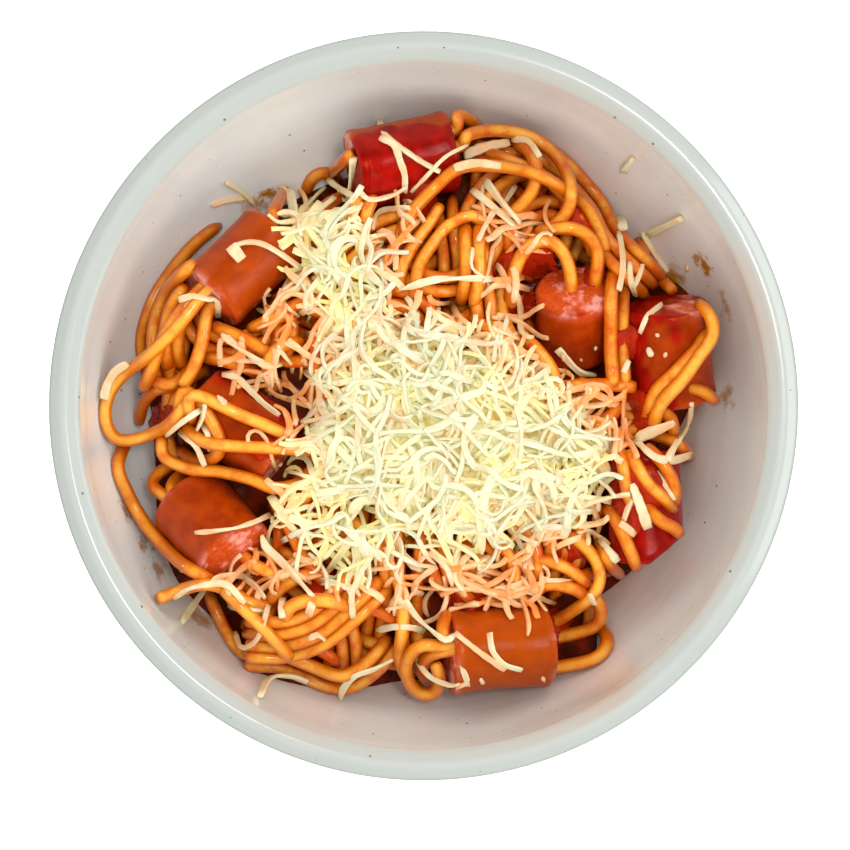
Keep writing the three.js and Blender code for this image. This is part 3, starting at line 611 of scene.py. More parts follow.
# %% [markdown]
# How soft things come to lie. A simulation of hundreds of wet strands would be slow and would not
# put them where the real ones are. A map of heights does: it holds the top of all that lies in the
# bowl so far, in small square cells. A strand is a row of balls along its route. Each ball comes
# down until it touches the map, the row is then pulled straight over hollows, as a stiff strand
# is, and the map is raised to the strand, so the next one lies over it. The order of the list is
# the order in which they were laid, and what crosses over what follows from it.

# %% Map of heights
CELL = 0.5
REACH = 78.0
axis_values = np.arange(-REACH, REACH + CELL / 2, CELL)
grid_x, grid_y = np.meshgrid(axis_values, axis_values)
HEAP_RADIUS = 60.0
HEAP_TOP = 43.0
HEAP_EDGE = 31.0  # height at the edge of the heap, higher on the side that it leans to
HEAP_LEAN, HEAP_LEAN_AZIMUTH = 4.0, math.radians(200)
UNDERLAY = 8.0  # the bed of sauce lies this far below the heap's form
EDGE_FALL = 20.0  # how far the bed falls to the wall past the edge of the food
WARM_SHADE_REACH, WARM_SHADE_MOST = 22.0, 1.0  # how far from the food the wall is painted warm and dark as painted shade, and how much at most
WARM_SHADE_AZIMUTH = math.radians(-20)  # the side where that painted shade is strongest, where the heap is lowest
# The edge of the food in plan millimetres, a little inside of what shows, anticlockwise.
FOOD_EDGE = [
    (51.3, -5.2), (56.6, 12.9), (52.8, 22.5), (46, 27.8), (37.5, 38.4), (29, 48), (18.3, 54.4),
    (3.5, 56.5), (-8.2, 54.4), (-13.5, 46.9), (-24.2, 42.7), (-31.6, 38.4), (-42.2, 32),
    (-48.6, 24.6), (-55, 16.1), (-56.1, 6.5), (-53.9, -3), (-53.5, -13.7), (-52.2, -26.4),
    (-48.6, -34.9), (-40.1, -43.4), (-33.7, -51.9), (-19.9, -56.2), (-5, -55.1), (5.6, -54),
    (22.6, -53), (34.3, -49.8), (34.3, -39.2), (46, -28.6), (49.2, -17.9),
]
EDGE_HEIGHT = 26.0  # about how high the food lies there
edge_places = [seated(x, y, EDGE_HEIGHT) for x, y in FOOD_EDGE]
edge_places.sort(key=lambda place: math.atan2(place[1], place[0]))
edge_azimuths = [math.atan2(y, x) for x, y in edge_places]
edge_radii = [math.hypot(x, y) for x, y in edge_places]


def past_edge(x, y):
    """How far a place lies outside the edge of the food."""
    edge = np.interp(np.arctan2(y, x), edge_azimuths, edge_radii, period=2 * math.pi)
    return np.hypot(x, y) - edge


def heap_height(x, y):
    """Height of the smooth form of the heap at a place."""
    edge = HEAP_EDGE + HEAP_LEAN * np.cos(np.arctan2(y, x) - HEAP_LEAN_AZIMUTH)
    share = np.clip(np.hypot(x, y) / HEAP_RADIUS, 0, 1)
    return edge + (HEAP_TOP - edge) * (1 - share ** 2)


def bed_height(x, y):
    """Height of the bed of sauce and sunken strands, which falls to the wall past the food's edge."""
    away = np.clip(past_edge(x, y) / 5 + 0.4, 0, 1)
    return heap_height(x, y) - UNDERLAY - EDGE_FALL * away ** 2 * (3 - 2 * away)


heights = np.maximum(wall_height(np.hypot(grid_x, grid_y)), bed_height(grid_x, grid_y))
on_sausage = np.zeros(heights.shape, bool)
for node, (vertices, faces) in sausage_faces.items():
    tree_of_faces = BVHTree.FromPolygons([tuple(v) for v in vertices], faces)
    low, high = np.min(vertices, 0), np.max(vertices, 0)
    columns = np.where((axis_values > low[0]) & (axis_values < high[0]))[0]
    rows = np.where((axis_values > low[1]) & (axis_values < high[1]))[0]
    for row in rows:
        for column in columns:
            hit = tree_of_faces.ray_cast((axis_values[column], axis_values[row], 100), (0, 0, -1))[0]
            if hit is not None and hit.z > heights[row, column]:
                heights[row, column] = hit.z
                on_sausage[row, column] = True
print("map of %d x %d cells" % heights.shape)

# Painted shade: the inside of the bowl is painted warmer and darker near the food, for the shade and the
# warm light that the food throws on it.
past = past_edge(bowl_vertices[:, 0], bowl_vertices[:, 1])
warm_shade_side = 0.45 + 0.55 * np.cos(np.arctan2(bowl_vertices[:, 1], bowl_vertices[:, 0]) - WARM_SHADE_AZIMUTH)
painted_warm_shade = WARM_SHADE_MOST * warm_shade_side.clip(0) * np.clip(1 - (past - 1) / WARM_SHADE_REACH, 0, 1) ** 1.5
on_inside = np.arange(len(bowl_vertices)) % (len(bowl_profile) - 2) >= crest_point
attribute(bowl, "warm_shade", np.where(on_inside, painted_warm_shade, 0))


def cells_near(x, y, radius):
    """The part of the map within reach of a ball, and how far the ball's underside lies there."""
    reach = int(radius / CELL) + 1
    column, row = round((x + REACH) / CELL), round((y + REACH) / CELL)
    part = (slice(max(row - reach, 0), row + reach + 1),
            slice(max(column - reach, 0), column + reach + 1))
    under = radius ** 2 - (grid_x[part] - x) ** 2 - (grid_y[part] - y) ** 2
    return part, under


def rest_height(x, y, radius):
    """The lowest height at which the middle of a ball clears the map."""
    part, under = cells_near(x, y, radius)
    near = under > 0
    if not near.any():
        return BOWL_HEIGHT
    return float((heights[part][near] + np.sqrt(under[near])).max())


def rest_on_sight(px, py, radius):
    """The height at which a ball that is seen at a plan place rests on what lies there."""
    low, high = FLOOR_HEIGHT, BOWL_HEIGHT + radius
    while high - low > 0.1:
        z = (low + high) / 2
        if rest_height(*seated(px, py, z), radius) > z:
            low = z
        else:
            high = z
    return high


def raise_map(points, radius):
    """Raises the map to balls along a strand."""
    for x, y, z in points:
        part, under = cells_near(x, y, radius)
        top = np.where(under > 0, z + np.sqrt(under.clip(0)), -100)
        heights[part] = np.maximum(heights[part], top)


# %% [markdown]
# Routes. A route is a short list of plan points, and a smooth curve runs through them. It is cut
# into equal steps before it is laid. Strands that were cooked together lie side by side, so one
# route can give several copies. Where a strand goes into a cut face of a frankfurter, its last
# stretch leaves the map and bends into the face.

# %% Laying
LAY_STEP = 1.1
SELF_CROSSING = 8  # steps after which a strand may rest on itself


def curve_through(points, step):
    """A smooth curve through points, cut into equal steps."""
    points = np.asarray(points, float)
    ends = [2 * points[0] - points[1], *points, 2 * points[-1] - points[-2]]
    share = np.linspace(0, 1, 12, endpoint=False)[:, None]
    dense = []
    for before, here, there, after in zip(ends, ends[1:], ends[2:], ends[3:]):
        dense.append(0.5 * (2 * here + (there - before) * share
                            + (2 * before - 5 * here + 4 * there - after) * share ** 2
                            + (3 * here - before - 3 * there + after) * share ** 3))
    return equal_steps(np.concatenate([*dense, points[-1:]]), step)


def equal_steps(line, step):
    """A line of points, cut again into equal steps."""
    length = np.concatenate([[0], np.cumsum(np.linalg.norm(np.diff(line, axis=0), axis=1))])
    count = max(3, int(round(length[-1] / step)) + 1)
    wanted = np.linspace(0, length[-1], count)
    return np.stack([np.interp(wanted, length, line[:, k]) for k in range(line.shape[1])], 1)


def side_by_side(route, copies, apart):
    """Copies of a route, each further to the left of it."""
    route = np.asarray(route, float)
    ahead = np.gradient(route, axis=0)
    left = np.stack([-ahead[:, 1], ahead[:, 0]], 1) / np.linalg.norm(ahead, axis=1)[:, None]
    return [route + left * apart * copy for copy in range(copies)]


def lie(route, radius, step=LAY_STEP, stiffness=25):
    """A route laid on the map."""
    placed = []
    for px, py in curve_through(route, step):
        placed.append((px, py, rest_on_sight(px, py, radius)))
        if len(placed) > SELF_CROSSING:
            bx, by, bz = placed[-SELF_CROSSING]
            raise_map([(*seated(bx, by, bz), bz)], radius * 0.9)
    laid = np.array(placed)
    rest = laid[:, 2].copy()
    for _ in range(stiffness):
        laid[1:-1, 2] = np.maximum(rest[1:-1], (laid[:-2, 2] + laid[2:, 2]) / 2)
    for _ in range(3):
        laid[1:-1, 2] = (laid[:-2, 2] + 2 * laid[1:-1, 2] + laid[2:, 2]) / 4
    laid[:, 0], laid[:, 1] = seated(laid[:, 0], laid[:, 1], laid[:, 2])
    return laid


def threaded(laid, node):
    """A laid strand whose end turns into the nearer cut face of a piece of frankfurter."""
    centre, axis, half, radius = pieces[node]
    end = math.copysign(1, (laid[-1] - centre) @ axis)
    face = centre + end * half * axis
    aside = laid[-1] - face
    aside -= (aside @ axis) * axis
    aside *= min(1, THREAD_SHARE * radius / max(np.linalg.norm(aside), 0.01))
    hole = face + aside
    kept = laid[:-THREAD_STEPS] if len(laid) > 2 * THREAD_STEPS else laid[:2]
    line = np.concatenate([kept, [hole + end * axis * far for far in THREAD_ALONG]])
    line = equal_steps(line, LAY_STEP)
    for _ in range(8):
        line[1:-1] = (line[:-2] + 2 * line[1:-1] + line[2:]) / 4
    return line


THREAD_SHARE = 0.62  # how far from the middle of the cut a strand may go in, as a share of the radius
THREAD_STEPS = 5  # steps of its laid end that a strand leaves for the bend into the cut
THREAD_ALONG = 3.0, 1.2, -3.0  # distances from the cut at which it then runs straight in
DIP, DIP_LENGTH = 3.2, 6.0  # how deep an end goes down between others, and over what length


def dipped(laid):
    """A laid strand whose end goes down between the others."""
    behind = np.concatenate([[0], np.cumsum(np.linalg.norm(np.diff(laid[::-1], axis=0), axis=1))])[::-1]
    share = np.clip(1 - behind / DIP_LENGTH, 0, 1)
    laid[:, 2] -= DIP * share ** 2
    return laid


# %% [markdown]
# A strand of spaghetti is a bar with a round section swept along its line. The section is carried
# along without twisting, and its size varies by a few per cent, as cooked pasta does. All strands
# of one layer are collected in one mesh, because hundreds of objects would only slow the work.

# %% Sweeping bars
class Bars:
    """Collects swept bars, so that many of them become one mesh."""

    def __init__(self):
        self.vertices, self.faces, self.numbers = [], [], {}
        self.count = 0

    def sweep(self, line, section, scales, numbers, twist=0.0, roll=0.0):
        """Adds a bar with a section of points (across, up) along a line; numbers go to each vertex."""
        line = np.asarray(line, float)
        ahead = np.gradient(line, axis=0)
        ahead /= np.linalg.norm(ahead, axis=1)[:, None].clip(1e-6)
        up = np.array([0, 0, 1.0])
        sides = len(section)
        for k, (point, along, scale) in enumerate(zip(line, ahead, scales)):
            up = up - along * (up @ along)
            up /= max(np.linalg.norm(up), 1e-6)
            across = np.cross(along, up)
            turn = roll + twist * k
            a = math.cos(turn) * across + math.sin(turn) * up
            b = math.cos(turn) * up - math.sin(turn) * across
            self.vertices.append(point + scale * (section[:, :1] * a + section[:, 1:] * b))
        rings = len(line)
        base = self.count
        for ring in range(rings - 1):
            low = base + ring * sides
            for i in range(sides):
                j = (i + 1) % sides
                self.faces.append((low + i, low + j, low + sides + j, low + sides + i))
        self.faces.append(tuple(base + i for i in reversed(range(sides))))
        self.faces.append(tuple(base + (rings - 1) * sides + i for i in range(sides)))
        self.count += rings * sides
        for name, value in numbers.items():
            spread = np.repeat(np.broadcast_to(value, rings), sides)
            self.numbers.setdefault(name, []).append(spread)

    def piece(self, name, material, slot, replaced, sharp_sides=0):
        """The collected bars as one piece; the long edges are crisp if the number of sides is given."""
        made = finished(name, np.concatenate(self.vertices), self.faces, material, replaced)
        if sharp_sides:
            ends = np.zeros(2 * len(made.data.edges), int)
            made.data.edges.foreach_get("vertices", ends)
            crisp = made.data.attributes.new("sharp_edge", "BOOLEAN", "EDGE")
            crisp.data.foreach_set("value", np.abs(ends[::2] - ends[1::2]) == sharp_sides)
        for key, values in self.numbers.items():
            attribute(made, key, np.concatenate(values))
        triangles = sum(len(p.vertices) - 2 for p in made.data.polygons)
        print("%s: %d triangles" % (name, triangles))
        return made


def round_section(radius, sides):
    angle = np.arange(sides) / sides * 2 * math.pi
    return np.stack([radius * np.cos(angle), radius * np.sin(angle)], 1)


def cut_ends(count, blunt=0.86):
    """Scales along a bar whose ends are cut square and slightly rounded."""
    scales = np.ones(count)
    scales[0] = scales[-1] = blunt
    return scales


# %% [markdown]
# Spaghetti in tomato sauce. Durum wheat pasta is straw yellow and slightly translucent; oil and
# tomato turn it orange, and strands that lie deep are given a deeper orange. The back of a strand is
# painted paler and its flanks a deeper orange, by which way the surface faces: painted light on the
# back and painted shade on the flanks. The wet surface is finely uneven, so highlights are soft. A
# number for each strand and noise at a few millimetres vary the colour, and scattering lets light
# glow through.

# %% Durum pasta with a film of tomato oil
pasta, tree, shader = new_material("durum_pasta_in_tomato_oil")
place = add(tree, "ShaderNodeTexCoord").outputs["Object"]
tone = add(tree, "ShaderNodeAttribute", {"attribute_name": "tone"}).outputs["Fac"]
sauce = add(tree, "ShaderNodeAttribute", {"attribute_name": "sauce"}).outputs["Fac"]
patches = add(tree, "ShaderNodeTexNoise", {"Scale": 1 / (7 * MM), "Detail": 3.0}, {"Vector": place})
patches = add(tree, "ShaderNodeMapRange", {"From Min": 0.3, "From Max": 0.7, "To Min": -0.35,
                                           "To Max": 0.35}, {"Value": patches.outputs["Fac"]})
warm = add(tree, "ShaderNodeMath", {"operation": "ADD", "use_clamp": True},
           {0: tone, 1: patches.outputs[0]})
# Painted light and shade: the back of a strand, which faces up, is painted paler and its flanks a deeper
# orange.
normal = add(tree, "ShaderNodeNewGeometry").outputs["Normal"]
facing_up_light = add(tree, "ShaderNodeMapRange",
            {"interpolation_type": "SMOOTHSTEP", "From Min": 0.55, "From Max": 1.0},
            {"Value": add(tree, "ShaderNodeSeparateXYZ", None, {"Vector": normal}).outputs["Z"]})
shaded_flanks = add(tree, "ShaderNodeMix", {"data_type": "RGBA", MIX_FIRST: linear("#DA7A0C"),
                                     MIX_SECOND: linear("#BC5A06")}, {MIX_SHARE: warm.outputs[0]})
back = add(tree, "ShaderNodeMix", {"data_type": "RGBA", MIX_FIRST: linear("#F0AE44"),
                                   MIX_SECOND: linear("#DE8A1C")}, {MIX_SHARE: warm.outputs[0]})
colour = add(tree, "ShaderNodeMix", {"data_type": "RGBA"},
             {MIX_SHARE: facing_up_light.outputs[0], MIX_FIRST: shaded_flanks.outputs[MIX_RESULT],
              MIX_SECOND: back.outputs[MIX_RESULT]})
drops = add(tree, "ShaderNodeTexNoise", {"Scale": 1 / (3.2 * MM), "Detail": 4.0, "Roughness": 0.6},
            {"Vector": place})
drops = add(tree, "ShaderNodeMapRange", {"From Min": 0.25, "From Max": 0.75, "To Min": -0.6,
                                         "To Max": 0.6}, {"Value": drops.outputs["Fac"]})
wet = add(tree, "ShaderNodeMath", {"operation": "ADD"}, {0: sauce, 1: drops.outputs[0]})
wet = add(tree, "ShaderNodeMapRange", {"From Min": 0.1, "From Max": 0.85, "To Max": 0.9},
          {"Value": wet.outputs[0]})
colour = add(tree, "ShaderNodeMix", {"data_type": "RGBA", MIX_SECOND: linear("#CC4A05")},
             {MIX_SHARE: wet.outputs[0], MIX_FIRST: colour.outputs[MIX_RESULT]})
fine = add(tree, "ShaderNodeTexNoise", {"Scale": 1 / (0.5 * MM), "Detail": 3.0}, {"Vector": place})
bump = add(tree, "ShaderNodeBump", {"Strength": 0.3, "Distance": 0.08 * MM},
           {"Height": fine.outputs["Fac"]})
tree.links.new(colour.outputs[MIX_RESULT], shader.inputs["Base Color"])
tree.links.new(bump.outputs["Normal"], shader.inputs["Normal"])
shader.inputs["Roughness"].default_value = 0.35
shader.inputs["Specular IOR Level"].default_value = 0.15
shader.inputs["IOR"].default_value = 1.45
shader.inputs["Subsurface Weight"].default_value = 0.15
shader.inputs["Subsurface Radius"].default_value = (1.0, 0.5, 0.1)
shader.inputs["Subsurface Scale"].default_value = 1.0 * MM
shader.inputs["Coat Weight"].default_value = 0.7
shader.inputs["Coat Roughness"].default_value = 0.08

# %% [markdown]
# The bed. Under the strands that show lies a dark mass of sauce and more pasta. Only slivers of it
# are seen between them, so it is one lumpy sheet that closes on the wall of the bowl. It is made
# from the same height function as the map, with noise for the lumps. The bed is painted dark brown:
# the colour of sauce darkened as painted shade of the deep gaps. Sauce in the patches near the top
# is red, so a number for each vertex picks the tone.

# %% Bed of sauce
sauce_material, tree, shader = new_material("tomato_sauce")
place = add(tree, "ShaderNodeTexCoord").outputs["Object"]
thick = add(tree, "ShaderNodeTexNoise", {"Scale": 1 / (5 * MM), "Detail": 5.0, "Roughness": 0.6},
            {"Vector": place})
thick = add(tree, "ShaderNodeMapRange", {"From Min": 0.3, "From Max": 0.7},
            {"Value": thick.outputs["Fac"]})
shallow = add(tree, "ShaderNodeAttribute", {"attribute_name": "shallow"}).outputs["Fac"]
# Painted shade: the deep colour is sauce darkened for the shade of the gaps.
deep = add(tree, "ShaderNodeMix", {"data_type": "RGBA", MIX_FIRST: linear("#3C1403"),
                                   MIX_SECOND: linear("#8A2A05")}, {MIX_SHARE: thick.outputs[0]})
top = add(tree, "ShaderNodeMix", {"data_type": "RGBA", MIX_FIRST: linear("#8A1A03"),
                                  MIX_SECOND: linear("#C42C08")}, {MIX_SHARE: thick.outputs[0]})
colour = add(tree, "ShaderNodeMix", {"data_type": "RGBA"},
             {MIX_SHARE: shallow, MIX_FIRST: deep.outputs[MIX_RESULT],
              MIX_SECOND: top.outputs[MIX_RESULT]})
pulp = add(tree, "ShaderNodeTexNoise", {"Scale": 1 / (1.1 * MM), "Detail": 3.0}, {"Vector": place})
bump = add(tree, "ShaderNodeBump", {"Strength": 0.5, "Distance": 0.3 * MM},
           {"Height": pulp.outputs["Fac"]})
tree.links.new(colour.outputs[MIX_RESULT], shader.inputs["Base Color"])
tree.links.new(bump.outputs["Normal"], shader.inputs["Normal"])
shader.inputs["Roughness"].default_value = 0.22
shader.inputs["IOR"].default_value = 1.38
shader.inputs["Subsurface Weight"].default_value = 0.12
shader.inputs["Subsurface Radius"].default_value = (1.0, 0.2, 0.05)
shader.inputs["Subsurface Scale"].default_value = 1.0 * MM

BED_RINGS, BED_SEGMENTS = 54, 160
BED_SKIRT = 5.0  # the bed reaches this far past the edge of the food, inside the wall
BED_SINK = 0.6  # how far its outer part goes into the wall
vertices = [(0, 0, float(bed_height(0.0, 0.0)))]
for ring in range(1, BED_RINGS + 1):
    for i in range(BED_SEGMENTS):
        turn = 2 * math.pi * i / BED_SEGMENTS
        reach = BED_SKIRT - float(past_edge(math.cos(turn), math.sin(turn))) + 1
        radius = reach * ring / BED_RINGS
        x, y = radius * math.cos(turn), radius * math.sin(turn)
        lump = 1.3 * noise.noise(Vector((x, y, 0)) * 0.17) + 0.5 * noise.noise(Vector((x, y, 9)) * 0.5)
        vertices.append((x, y, max(float(bed_height(x, y)) + lump,
                                   float(wall_height(radius)) - BED_SINK)))
vertices.append((0, 0, FLOOR_HEIGHT - BED_SINK))
faces = []
for i in range(BED_SEGMENTS):
    j = (i + 1) % BED_SEGMENTS
    faces.append((0, 1 + i, 1 + j))
    for ring in range(BED_RINGS - 1):
        a = 1 + ring * BED_SEGMENTS
        b = a + BED_SEGMENTS
        faces.append((a + i, b + i, b + j, a + j))
    rim_start = 1 + (BED_RINGS - 1) * BED_SEGMENTS
    faces.append((len(vertices) - 1, rim_start + j, rim_start + i))
bed = finished("bed_of_sauce", vertices, faces, sauce_material, ["spaghetti"])
attribute(bed, "shallow", np.zeros(len(vertices)))
print("bed:", len(bed.data.polygons), "faces")

# %% [markdown]
# The hidden layers. Below the strands that can be told apart lie many more. They are drawn by a
# seeded generator: each starts at a random place, wanders in wide bends, and has one to three
# neighbours that run beside it. They are laid first, so all the others cover them.

# %% Strands below
STRAND_RADIUS = 1.48
CROSSING = 0.93  # strands press into each other a little where they cross
UNDER_BUNDLES, MOST_TRIES = 200, 1800
TOO_HIGH = 0.5  # a hidden strand may not lie further above the heap's form than this
TOO_HIGH_END = 3.5  # nor any place along it further than this
BELOW_HEIGHT = 34.0  # about how high these strands lie
BELOW_SPREAD = 64  # they start within this distance of the axis
SIDE_BY_SIDE = 2.9  # distance of strands in a row
ON_EDGE = 0.8  # share of the spread past which strands run round the bowl
FEWEST_POINTS = 5
dice = random.Random(11)


def wandering(start, heading, length, step=3.0):
    """A plan route that wanders in wide bends."""
    bend = dice.uniform(-0.16, 0.16)
    sway, phase = dice.uniform(0.0, 0.12), dice.uniform(0, 6.3)
    x, y = start
    route = [(x, y)]
    for k in range(int(length / step)):
        heading += (bend + sway * math.sin(phase + k * 0.5)) * step * 0.55
        x, y = x + step * math.cos(heading), y + step * math.sin(heading)
        route.append((x, y))
    return route


def clear_of_sausage(x, y):
    column, row = round((x + REACH) / CELL), round((y + REACH) / CELL)
    return not on_sausage[max(row - 2, 0):row + 3, max(column - 2, 0):column + 3].any()


def longest_clear(route, margin):
    """The longest stretch of a plan route inside the food's edge and beside the frankfurters."""
    best, run = [], []
    for x, y in route:
        true_x, true_y = seated(x, y, BELOW_HEIGHT)
        inside = past_edge(true_x, true_y) < margin and clear_of_sausage(true_x, true_y)
        run = run + [(x, y)] if inside else []
        if len(run) > len(best):
            best = run
    return best


below = Bars()
made = tries = 0
while made < UNDER_BUNDLES and tries < MOST_TRIES:
    tries += 1
    share = math.sqrt(dice.random())
    turn = dice.uniform(0, 2 * math.pi)
    start = (share * BELOW_SPREAD * math.cos(turn), share * BELOW_SPREAD * math.sin(turn))
    if share > ON_EDGE:
        heading = turn + math.pi / 2 + dice.uniform(-0.9, 0.9)
    else:
        heading = dice.uniform(0, 2 * math.pi)
    route = longest_clear(wandering(start, heading, dice.uniform(22, 56)), 0.5)
    if len(route) < FEWEST_POINTS:
        continue
    middle = seated(*route[len(route) // 2], BELOW_HEIGHT)
    if rest_height(*middle, STRAND_RADIUS) > heap_height(*middle) + TOO_HIGH:
        continue
    tone_of_bundle, sauce_of_bundle = dice.uniform(0.2, 0.9), dice.uniform(0.2, 0.7)
    for beside in side_by_side(route, dice.choice([1, 2, 2, 3]), SIDE_BY_SIDE):
        beside = longest_clear(beside, 1.5)
        if len(beside) < FEWEST_POINTS:
            continue
        size = STRAND_RADIUS * dice.uniform(0.94, 1.05)
        before = heights.copy()
        laid = lie(beside, size, step=1.7, stiffness=10)
        if (laid[:, 2] - heap_height(laid[:, 0], laid[:, 1])).max() > TOO_HIGH_END:
            heights = before
            continue
        raise_map(equal_steps(laid, 0.8), size * CROSSING)
        laid = dipped(dipped(laid)[::-1])
        numbers = {"tone": tone_of_bundle, "sauce": sauce_of_bundle + dice.uniform(-0.1, 0.1)}
        below.sweep(laid, round_section(size, 8), cut_ends(len(laid)), numbers)
    made += 1
below.piece("spaghetti_below", pasta, "pasta", ["spaghetti"])
print("%d bundles below after %d tries" % (made, tries))

# %% [markdown]
# The strands that show. These are placed one by one, a route for each strand or row of strands that
# can be followed in the photograph, from the lowest to the highest. An end is "under" where it goes
# down between others, "free" where the cut end shows, or the name of the piece of frankfurter that
# it goes into.

# %% Strands that show
def strand(route, ends=("under", "under"), copies=1, apart=SIDE_BY_SIDE, sauce=0.25, tone=0.4):
    return {"route": route, "ends": ends, "copies": copies, "apart": apart, "sauce": sauce, "tone": tone}


